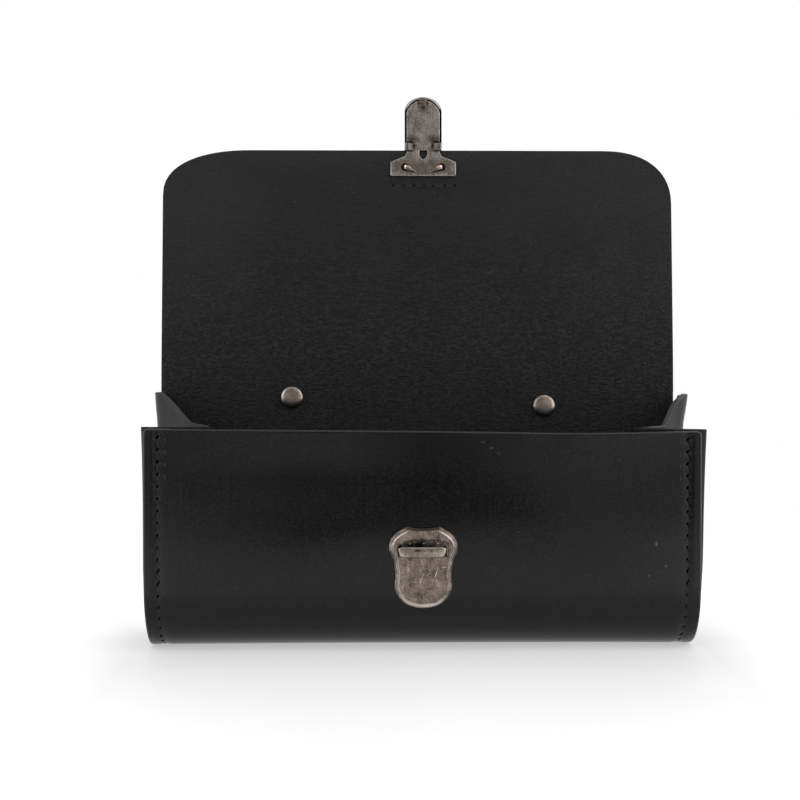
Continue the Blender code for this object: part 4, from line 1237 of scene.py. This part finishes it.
def make_catch_shield(place, metal):
    """The shield-shaped plate, pressed from sheet, with its slot rolled inwards and posts behind it."""
    work = bmesh.new()
    edge = catch_outline()
    slot = curved([(out * SLOT_HALF, SLOT_LOW + up * SLOT_TALL) for out, up in SLOT_EDGE], 5)
    slot += [slot[-1].lerp(slot[0], share / 8) for share in range(1, 8)]

    def skin(outline, rows, way=1):
        return [inset_ring(outline, way * inset * MM, up * MM) for inset, up in rows]

    def narrowed(ring):
        """Draws a ring of the outside in to a narrow edge between the horns."""
        for corner, point in zip(edge, ring):
            high = ramp(corner.y, CATCH_TALL - 2.5 * MM, CATCH_TALL - 1.2 * MM)
            between = high * ramp(abs(corner.x), 8.0 * MM, 6.6 * MM)
            point.xy = corner.xy.lerp(point.xy, 1 - TOP_NARROWED * between)
        return ring

    outside = add_rings(work, [narrowed(ring) for ring in skin(edge, CATCH_SKIN)])
    roll = add_rings(work, skin(slot, SLOT_ROLL, -1))
    under = add_rings(work, skin(edge, CATCH_UNDERSIDE))
    fill(work, outside[-1], roll[0])
    fill(work, under[0], roll[-1])
    high, low = outside[0], under[-1]
    for corners in zip(high, high[1:] + high[:1], low[1:] + low[:1], low):
        work.faces.new(corners)
    add_plate(work, [[Vector(point) * MM for point in INNER_PLATE]], 2.6 * MM, 3.3 * MM, 0.1 * MM)
    for across in PIPS:
        add_lathe(work, (across * MM, PIP_UP * MM), [(out * MM, up * MM) for out, up in PIP], 16)
    for across, up in POSTS:
        add_lathe(work, (across * CATCH_WIDE, up * CATCH_TALL), POST, 24)
    for start, end, width in SCRATCHES:
        add_scratch(work, start, end, width)
    off_edge, off_slot = off_outline([edge]), off_outline([slot])

    def wear_and_painted_light(spot):
        """Bright on the horns' crests, which is partly a painted highlight, and on the lower rim, which is a
        painted reflection of the table; dark in the slot's roll and inside it, which is painted shade.
        """
        across, up, out = abs(spot.x), spot.y, spot.z
        inset, off = off_edge(spot), off_slot(spot)
        if out > 4.395 * MM and inset > 2.9 * MM:
            return 1.2
        if out < 2 * MM:
            return -0.2
        horn = ramp(up, 27 * MM, 31 * MM) * ramp(across, 6.5 * MM, 8 * MM)
        low = ramp(up, 7 * MM, 1.5 * MM)
        between = ramp(up, CATCH_TALL - 4.5 * MM, CATCH_TALL - 3 * MM) * ramp(across, 7.2 * MM, 5.5 * MM)
        # The crest is bright all round and brightest on the horns, where it faces the light above: a painted
        # highlight on the horns.
        crest = near(inset, CREST_INSET, (0.3 + 0.25 * horn) * MM) * (0.5 + 0.6 * horn) * (1 - between)
        # The lower rim's band faces down to the white table: its brightness is a painted reflection.
        rim = near(inset, 1.1 * MM, 1.2 * MM) * low
        rim += near(inset, 0.1 * MM, 0.3 * MM) * (0.1 + 0.6 * between)
        # The slot's roll is darkened: painted shade.
        sunk = near(off, 0, 0.9 * MM) * ramp(up, SLOT_LOW + 1 * MM, SLOT_LOW + 3 * MM)
        # The three pips are lightened: painted highlights.
        pip = 0.6 if 3.5 * MM < out < 3.9 * MM and up < 29.5 * MM and off > 0.6 * MM else 0
        # The plate seen through the slot and the shield's underside are darkened: painted shade.
        inside = 0.52 if inset > 3.2 * MM and out < 3.4 * MM else 0
        return crest + rim + pip - 0.75 * sunk - inside

    return finish_metal("catch_shield", work, place, "catch_plate", metal, wear_and_painted_light)


def make_catch_bar(place, metal):
    """The bar across the slot: a strap bent down at both ends, which the tongue behind it rubs, with painted
    highlights along its rounded upper and lower edges.
    """
    work = bmesh.new()
    reach, level = BAR_HALF - BAR_SHEET / 2, BAR_TOP - BAR_SHEET / 2
    flat = reach - BAR_TURN
    left = [(Vector((-reach, up * MM)), Vector((-1, 0))) for up in (0.3, 1.5, 2.8)]
    left += turned_path(Vector((-flat, level - BAR_TURN)), math.pi, math.pi / 2, BAR_TURN)
    top = [(Vector((mix(-flat, flat, step / 24), level)), Vector((0, 1))) for step in range(1, 24)]
    ends = [mirrored(pair)[::-1] for pair in left[::-1]]
    stations = []
    for point, out in left + top + ends:
        tall = BAR_HALF_TALL * (1 - 0.14 * ramp(abs(point.x), reach - 1.2 * MM, reach))
        wide = Vector((BAR_SLANT * point.x / reach, tall, 0))
        middle = Vector((point.x + BAR_SHIFT, BAR_MIDDLE, point.y))
        stations.append((middle, wide, Vector((out.x, 0, out.y)) * BAR_SHEET / 2))
    add_strap(work, stations, 0.36 * MM)

    def wear_and_painted_light(spot):
        """Brightest along its upper and lower edge, which is a painted highlight on its rounded edges, and
        brighter towards its ends.
        """
        up = abs(spot.y - BAR_MIDDLE) / BAR_HALF_TALL
        end = ramp(abs(spot.x - BAR_SHIFT), 7.5 * MM, 9.6 * MM)
        return 0.12 + 1.0 * ramp(up, 0.86, 0.98) + 0.3 * end

    return finish_metal("catch_bar", work, place, "catch_bridge", metal, wear_and_painted_light)


def tongue_outline(half, tip, low, point=1.0):
    """A tongue with straight sides up to its rounded tip, which a point over 1 makes more pointed."""
    spring = tip - TONGUE_TIP * half / TONGUE_HALF
    side = [Vector((half, mix(low, spring, step / 12))) for step in range(12)]
    arc = [heading(math.pi * step / 36) for step in range(37)]
    crown = [Vector((half * way.x, spring + (tip - spring) * max(way.y, 0) ** point)) for way in arc]
    foot = [Vector((mix(-half, half, step / 10), low)) for step in range(1, 10)]
    return side + crown + mirrored(side) + foot


def base_points():
    """The clasp's foot, from the left shoulder round to the right one, with rounded lower corners."""
    corner = 1.0 * MM
    left = [
        Vector((-TONGUE_HALF, SHOULDER_TOP)),
        Vector((-TONGUE_HALF - 3.2 * MM, mix(SHOULDER_TOP, -SHOULDER_DROP, 0.45))),
        Vector((-BASE_HALF + 0.35 * MM, -SHOULDER_DROP + 0.12 * MM)),
        Vector((-BASE_HALF, -SHOULDER_DROP - 0.25 * MM)),
        Vector((-BASE_HALF, -8.5 * MM)),
    ]
    centre = Vector((-BASE_HALF + corner, -BASE_DROP + corner))
    left += [centre + corner * heading(math.pi * (1 + step / 10)) for step in range(6)]
    left += [Vector((-across * MM, -BASE_DROP)) for across in (12, 8, 4)]
    nick = ((0.4, 0), (0.8, -0.22), (1.2, 0))
    nick = [Vector((across * MM, up * MM - BASE_DROP)) for across, up in nick]
    return left + nick + mirrored(left)


def teardrop(side):
    """The slot in the back plate that a prong comes through, pointing to the middle and down."""
    centre, tip = Vector((PRONG_ACROSS, -PRONG_DROP)), Vector((2.7, -10.9)) * MM
    way = math.atan2(tip.y - centre.y, tip.x - centre.x)
    turns = [way + math.pi * mix(0.53, 1.47, step / 14) for step in range(15)]
    points = [centre + 1.95 * MM * heading(turn) for turn in turns]
    points += [points[-1].lerp(tip, share / 6) for share in range(1, 7)]
    points += [tip.lerp(points[0], share / 6) for share in range(1, 6)]
    return [Vector((side * point.x, point.y)) for point in points]


def window_outline():
    """The window in the back plate, square above and pointed below."""
    half, tall = 2.0 * MM, 4.3 * MM
    low = ((-1, -0.5), (-0.62, -0.84), (0, -1), (0.62, -0.84), (1, -0.5))
    low = curved([(across * half, up * tall) for across, up in low], 4)
    high = [(half, 0), (0, 0), (-half, 0), (-half, -0.25 * tall)]
    return [Vector(point) for point in high] + low + [Vector((half, -0.25 * tall))]


def make_clasp_plate(place, metal):
    """The plate inside the flap, which lies in the hollow tongue and has a window and two slots."""
    work = bmesh.new()
    tip = TONGUE_RISE - TONGUE_TIP_WALL - 0.65 * MM
    tongue = tongue_outline(TONGUE_HALF - TONGUE_WALL - 0.15 * MM, tip, SHOULDER_TOP, HOLLOW_POINT)
    outline = base_points() + tongue[1:-10]
    window = window_outline()
    outlines = [outline, window, teardrop(-1), teardrop(1)]
    add_plate(work, outlines, CLASP_FACE - CLASP_SHEET, CLASP_FACE, 0.22 * MM)
    off_rim = off_outline([outline, window])

    def wear_and_painted_light(spot):
        """Bright along its edge and its window's, and dark behind."""
        rim = 0.75 * near(off_rim(spot), 0.15 * MM, 0.5 * MM)
        return rim if spot.z > CLASP_FACE - 0.3 * MM else -0.4

    return finish_metal("clasp_inner_plate", work, place, "clasp_back_plate", metal, wear_and_painted_light)


def add_prong(work, side):
    """One prong: it comes up through the slot and its pointed leaf is bent down to the middle."""
    points = [Vector((side * x, y, 0)) * MM for x, y, _, _ in PRONG_LEAF]
    stations = []
    for number, (point, (_, _, half, lift)) in enumerate(zip(points, PRONG_LEAF)):
        before, after = points[max(number - 1, 0)], points[min(number + 1, len(points) - 1)]
        wide = (after - before).cross(Vector((0, 0, 1))).normalized() * half * MM
        middle = point + Vector((0, 0, CLASP_FACE + lift * MM))
        stations.append((middle, -wide if wide.y < 0 else wide, Vector((0, 0, LEAF / 2))))
    add_strap(work, stations, 0.2 * MM)


def make_clasp_shell(place, metal, bare):
    """The cover outside the flap: a hollow tongue on a foot, with tabs over the plate and two prongs."""
    work = bmesh.new()
    low = 0.3 * MM
    outer = tongue_outline(TONGUE_HALF, TONGUE_RISE, low)
    half, tip = TONGUE_HALF - TONGUE_WALL, TONGUE_RISE - TONGUE_TIP_WALL
    inner = tongue_outline(half, tip, low + TONGUE_WALL, HOLLOW_POINT)

    def ring(share, height, drop):
        """A ring between the tongue's outer edge and its hollow, which falls away at the tip by drop."""
        points = []
        for out, into in zip(outer, inner):
            x, y = out.lerp(into, share)
            level = min(height, TONGUE_FLOOR + 1.1 * MM) if y < 1.4 * MM else height
            points.append(Vector((x, y, level - drop * ramp(y, TONGUE_RISE - 7 * MM, TONGUE_RISE) ** 1.5)))
        return points

    rings = [inset_ring(outer, inset * MM, TONGUE_FLOOR + up * MM) for inset, up in TONGUE_SKIN]
    rings += [ring(share, CLASP_FACE - down * MM, drop * TIP_DROP) for share, down, drop in TONGUE_RIM]
    rings.append(ring(1, CLASP_FACE - TIP_DROP - 0.1 * MM, 0))
    rings += [ring(share, TONGUE_FLOOR + CLASP_SHEET, 0) for share in (1, 1.3)]
    made = add_rings(work, rings)
    fill(work, made[0])
    fill(work, made[-1])
    step = [Vector((share * TONGUE_HALF, STEP_TOP)) for share in (1, 0, -1)]
    add_plate(work, [base_points() + step], BASE_OUTSIDE - CLASP_SHEET, BASE_OUTSIDE, 0.2 * MM)
    reach = TONGUE_HALF - 0.3 * MM
    riser = [(-reach, 0.4 * MM), (reach, 0.4 * MM), (reach, 1.0 * MM), (-reach, 1.0 * MM)]
    riser = [Vector(point) for point in riser]
    add_plate(work, [riser], BASE_OUTSIDE - 0.4 * MM, TONGUE_FLOOR + 0.4 * MM, 0.05 * MM)

    lip = CLASP_FACE + 0.16 * MM + TAB_SHEET / 2
    bend = 0.55 * MM
    upwards = Vector((0, 1))
    for side in (-1, 1):
        wall = side * (TONGUE_HALF - 0.35 * MM)
        path = [(Vector((wall, CLASP_FACE - 0.9 * MM)), Vector((side, 0)))]
        start = 0 if side > 0 else math.pi
        path += turned_path(Vector((wall - side * bend, lip - bend)), start, math.pi / 2, bend)
        for share, droop in ((0.45, 0), (0.75, 0.05), (1.0, 0.12)):
            path.append((Vector((side * (TONGUE_HALF - TAB_LONG * share), lip - droop * MM)), upwards))
        talls = [TAB_HALF_TALL] * (len(path) - 1) + [0.86 * TAB_HALF_TALL]
        stations = [
            (Vector((x, TAB_HALF_TALL, z)), Vector((0, tall, 0)), Vector((out.x, 0, out.y)) * TAB_SHEET / 2)
            for ((x, z), out), tall in zip(path, talls)
        ]
        add_strap(work, stations, 0.18 * MM)
    top = TONGUE_RISE - 0.9 * MM
    path = [(Vector((top, CLASP_FACE - 1.6 * MM)), Vector((1, 0)))]
    path += turned_path(Vector((top - bend, lip - bend)), 0, math.pi / 2, bend)
    path += [(Vector((tip - TIP_TAB_TALL * share, lip)), upwards) for share in (0.4, 0.8, 1.0)]
    stations = [
        (Vector((0, y, z)), Vector((TIP_TAB_HALF, 0, 0)), Vector((0, *out)) * TAB_SHEET / 2)
        for (y, z), out in path
    ]
    add_strap(work, stations, 0.18 * MM)
    off_rim = off_outline([outer])
    shell_faces = len(work.faces)
    for side in (-1, 1):
        add_prong(work, side)

    def wear_and_painted_light(spot):
        """Bright on the prongs, the tabs and the tip's rim, and dark along the tongue's sides; darker where
        the tabs bend down to the plate and in the hollow at the tip, which is painted shade.
        """
        across, up, out = abs(spot.x), spot.y, spot.z
        if up < -6 * MM and out > 0:
            under = -10.75 * MM + (across - 3.3 * MM) * 0.36
            brightened = 0.8 * ramp(up, under + 0.7 * MM, under + 1.2 * MM)
            return -0.05 + brightened + 0.9 * ramp(across, 4.6 * MM, 3.6 * MM)
        if out > CLASP_FACE + 0.02 * MM:
            # The tabs darken where they bend down to the plate: painted shade.
            return 0.6 * near(across, 6.6 * MM, 1.6 * MM) - 0.5 * ramp(out, lip, CLASP_FACE)
        at_tip = ramp(up, TONGUE_RISE - 7.6 * MM, TONGUE_RISE - 5.6 * MM)
        hollow = ramp(off_rim(spot), 0.9 * TONGUE_WALL, 1.2 * TONGUE_WALL)
        # Along the sides the tongue's rim and walls are dark. At the tip the rim is bright and the hollow
        # behind it dark: painted shade in the gap round the plate.
        if out > TONGUE_FLOOR + 0.5 * MM and up > 0.3 * MM:
            on_rim = out > CLASP_FACE - 0.09 * MM - TIP_DROP * at_tip
            return mix(-1.3, 0.55 if on_rim else mix(0.55, -1.6, hollow), at_tip)
        return 0.35 * near(out, TONGUE_FLOOR + 0.3 * MM, 0.4 * MM)

    piece = finish_metal("clasp_shell", work, place, "clasp_cover", metal, wear_and_painted_light)
    piece.data.materials.append(bare)
    for face in piece.data.polygons[shell_faces:]:
        face.material_index = 1
    return piece


def make_rivet(name, across, drop, node_name, metal):
    """A domed cap inside the back, a post through the leather and a flat cap behind it."""
    work = bmesh.new()
    low, top = GAP / 3, GAP + RIVET_RIM
    profile = []
    for turn in spread(0.06, math.pi / 2, 0.1):
        out = math.sin(turn)
        profile.append((RIVET_RADIUS * out, top + RIVET_DOME * (1 - out**3.2) ** 0.6))
    profile += [
        (RIVET_RADIUS, top - 0.15 * MM),
        (RIVET_RADIUS - 0.12 * MM, low + 0.1 * MM),
        (RIVET_RADIUS - 0.4 * MM, low),
        (1.6 * MM, low),
    ]
    profile += [(out * MM, -BODY_LEATHER - GAP - down * MM) for out, down in RIVET_BACK]
    add_lathe(work, (0, 0), profile, 56)

    def wear_and_painted_light(spot):
        """Brighter round its rim."""
        return 0.5 * near(math.hypot(spot.x, spot.y), RIVET_RADIUS, 0.5 * MM)

    place = seat(across, BAG_DEPTH / 2 - BODY_LEATHER, BACK_HEIGHT - drop)
    return finish_metal(name, work, place, node_name, metal, wear_and_painted_light)


# The scene

TABLE_FRONT = -0.58
TABLE_BACK = 0.224
TABLE_WIDE = 3.2
BACKDROP = 1.1


def make_camera():
    """At the photograph's place, which was found from the bag's corners in it."""
    camera = bpy.data.cameras.new("camera")
    camera.lens = 71.14
    camera.sensor_width = 36
    eye = add_object("camera", camera)
    eye.location = (-24.6 * MM, -738.1 * MM, 131.1 * MM)
    eye.rotation_euler = (math.radians(90 - 1.46), 0, math.radians(-1.17))
    bpy.context.scene.camera = eye


def make_table():
    """A milk-white acrylic table top that glows as if lit from below, so that the bag's shadow on it is
    faint. The glow is painted light and changes with the place.
    """
    made, tree, shader, place = new_material("white_acrylic_table")
    haze = node(tree, "TexNoise", {"Vector": place, "Scale": 1 / 160})
    glow = layered(tree, "#e9e9ea", (haze, "#f2f2f2"))
    milk = layered(tree, "#9c9c9d", (haze, "#a3a3a3"))
    across, deep, _ = node(tree, "SeparateXYZ", [place]).outputs
    # The glow is dimmer just in front of the bag, as a painted shadow, and dim far in front, which darkens
    # what the front's polish reflects; it is brighter behind the bag and beyond its ends.
    front_end = node(tree, "MapRange", [deep, -380, -240, 0.44, 0.76])
    middle = node(tree, "MapRange", [deep, -220, -50, 0.76, 0.54])
    back_end = node(tree, "MapRange", [deep, 10, 190, 0, 0.6])
    out = node(tree, "Math", [across], operation="ABSOLUTE")
    ends = node(tree, "MapRange", [out, 130, 185, 0, 0.4])
    along = node(tree, "Math", [front_end, middle], operation="MINIMUM")
    around = node(tree, "Math", [back_end, ends], operation="MAXIMUM")
    painted_glow = node(tree, "Math", [along, around], operation="ADD")
    look = {"Emission Color": glow, "Emission Strength": painted_glow, "Roughness": 0.6}
    plug(tree, shader, {"Base Color": milk, **look})
    bpy.ops.object.select_all(action="DESELECT")
    bpy.ops.mesh.primitive_plane_add(size=1)
    table = bpy.context.object
    table.name = table.data.name = "table"
    for vert in table.data.vertices:
        vert.co = (vert.co.x * TABLE_WIDE, TABLE_FRONT if vert.co.y < 0 else TABLE_BACK, 0)
    table.data.materials.append(made)


def add_softbox(name, place, aim, wide, tall, power):
    light = bpy.data.lights.new(name, "AREA")
    light.shape = "RECTANGLE"
    light.size, light.size_y = wide, tall
    light.energy = power
    box = add_object(name, light)
    box.location = place
    box.rotation_euler = (Vector(aim) - Vector(place)).to_track_quat("-Z", "Y").to_euler()


def make_light():
    """White to the camera, a dim room to what the leather and the metal reflect, and three softboxes.

    The room is given by the direction that is looked in: x to the right, y to the back and z up.
    """
    world = bpy.data.worlds.new("studio")
    world.use_nodes = True
    bpy.context.scene.world = world
    tree = world.node_tree
    tree.nodes.clear()
    x, y, z = node(tree, "SeparateXYZ", [node(tree, "TexCoord").outputs["Generated"]]).outputs
    right = node(tree, "MapRange", [x, 0.08, 0.165], **SOFT)
    left = node(tree, "MapRange", [x, -0.078, -0.112, 0, 0.3])
    off_glow = node(tree, "Math", [x, 0.035], operation="SUBTRACT")
    near_glow = node(tree, "Math", [off_glow], operation="ABSOLUTE")
    glow = node(tree, "MapRange", [near_glow, 0.08, 0.02, 0, 0.15], **SOFT)
    ends = node(tree, "Math", [left, glow], operation="ADD")
    sides = node(tree, "Math", [right, 0.66, ends], operation="MULTIPLY_ADD")
    ceiling = node(tree, "Math", [right, 0.4, 0.34], operation="MULTIPLY_ADD")
    window = node(tree, "MapRange", [x, 0.01, -0.03, 0, 0.6], **SOFT)
    wall = node(tree, "Math", [right, 0.4, window], operation="MULTIPLY_ADD")
    near_wall = node(tree, "MapRange", [z, 0.16, 0.04])
    high = node(tree, "Math", [wall, near_wall, ceiling], operation="MULTIPLY_ADD")
    room = node(tree, "MapRange", [z, -0.06, -0.026, sides, high], **SOFT)
    sideways = node(tree, "Math", [x], operation="ABSOLUTE")
    panel = node(tree, "MapRange", [sideways, 0.45, 0.75, 0, 0.85])
    walls = node(tree, "Math", [room, panel], operation="ADD")
    behind = node(tree, "MapRange", [y, 0.1, 0.45])
    around = node(tree, "Mix", {0: behind, 2: walls, 3: BACKDROP}, data_type="FLOAT")
    white, dim = (
        node(tree, "Background", {"Color": srgb("#ffffff"), "Strength": strength}) for strength in (1, around)
    )
    seen = node(tree, "LightPath").outputs["Is Camera Ray"]
    node(tree, "OutputWorld", {"Surface": node(tree, "MixShader", [seen, dim, white])})
    add_softbox("softbox_above", (0, -0.55, 1.35), (0, -0.1, 0.0), 1.6, 1.2, 4.6)
    add_softbox("softbox_left", (-1.05, -0.6, 0.5), (0, 0, 0.12), 0.8, 1.2, 4)
    add_softbox("softbox_right", (1.05, -0.6, 0.5), (0, 0, 0.12), 0.8, 1.2, 4)


def main():
    grain = grain_leather("polished_bridle_leather", 0.1, 0.024, NICKS)
    gusset_grain = grain_leather("polished_gusset_leather", 0.26, 0.03)
    flesh, thread = flesh_leather(), waxed_thread()
    edge = cut_edge("burnished_leather_edge", "#0e0e0e", "#222120", 0.36, 0.4)
    flap_edge = cut_edge("dyed_flap_edge", "#232322", "#31302e", 0.8, 0.0)
    # The gusset's cut edges on its ears: lighter, partly the edge's colour and partly painted light.
    gusset_edge = cut_edge("gusset_edge_painted_light", "#31302e", "#484643", 0.5, 0.4)
    # A darker, duller copy for the gusset's front fold and its front and lower cut edges: painted shade.
    gusset_rim = cut_edge("gusset_rim_painted_shade", "#0a0a0a", "#191918", 0.6, 0.15)
    make_bag_leather([grain, flesh, edge, awl_slot(), flap_edge])
    make_clasp_row(thread)
    ends = (("left", -1, LEFT_TUCK, LEFT_FLARE, LEFT_EAR), ("right", 1, RIGHT_TUCK, RIGHT_FLARE, RIGHT_EAR))
    finishes = [gusset_grain, flesh, gusset_edge, gusset_rim]
    for name, *end in ends:
        make_gusset_leather(f"gusset_{name}_leather", f"gusset_{name}", *end, finishes)
    for name, side, *_ in ends:
        make_seam(f"stitches_{name}", side, thread)
    antique = nickel("antique_nickel_plate", "#4f4540", "#978a81", "#dcd3c9", 0.4, CATCH_MARKS)
    pale = nickel("antique_nickel_tongue", "#554d48", "#857b74", "#c9c1b9", 0.38, CLASP_MARKS)
    brightened = nickel("nickel_rubbed_bar", "#6a615a", "#978d84", "#cfc6bc", 0.34, BAR_MARKS)
    caps = nickel("nickel_rivet_cap", "#71675f", "#9c9188", "#d8d0c8", 0.28)
    # The prongs' bent leaves are rubbed through to the copper under the nickel: a dull, warm pink
    copper = nickel("bare_copper_plated_steel", "#755f55", "#9c8173", "#f2dccd", 0.3)
    make_catch_shield(seat(*CATCH_PLACE), antique)
    make_catch_bar(seat(*CATCH_PLACE), brightened)
    make_clasp_plate(seat(*CLASP_PLACE, FLAP_LEAN), pale)
    make_clasp_shell(seat(*CLASP_PLACE, FLAP_LEAN), pale, copper)
    make_rivet("rivet_cap_left", -RIVET_ACROSS, LEFT_RIVET_DROP, "rivet_left", caps)
    make_rivet("rivet_cap_right", RIVET_ACROSS, RIGHT_RIVET_DROP, "rivet_right", caps)
    make_table()
    make_light()
    make_camera()
    bpy.context.scene.view_settings.view_transform = "Standard"


main()
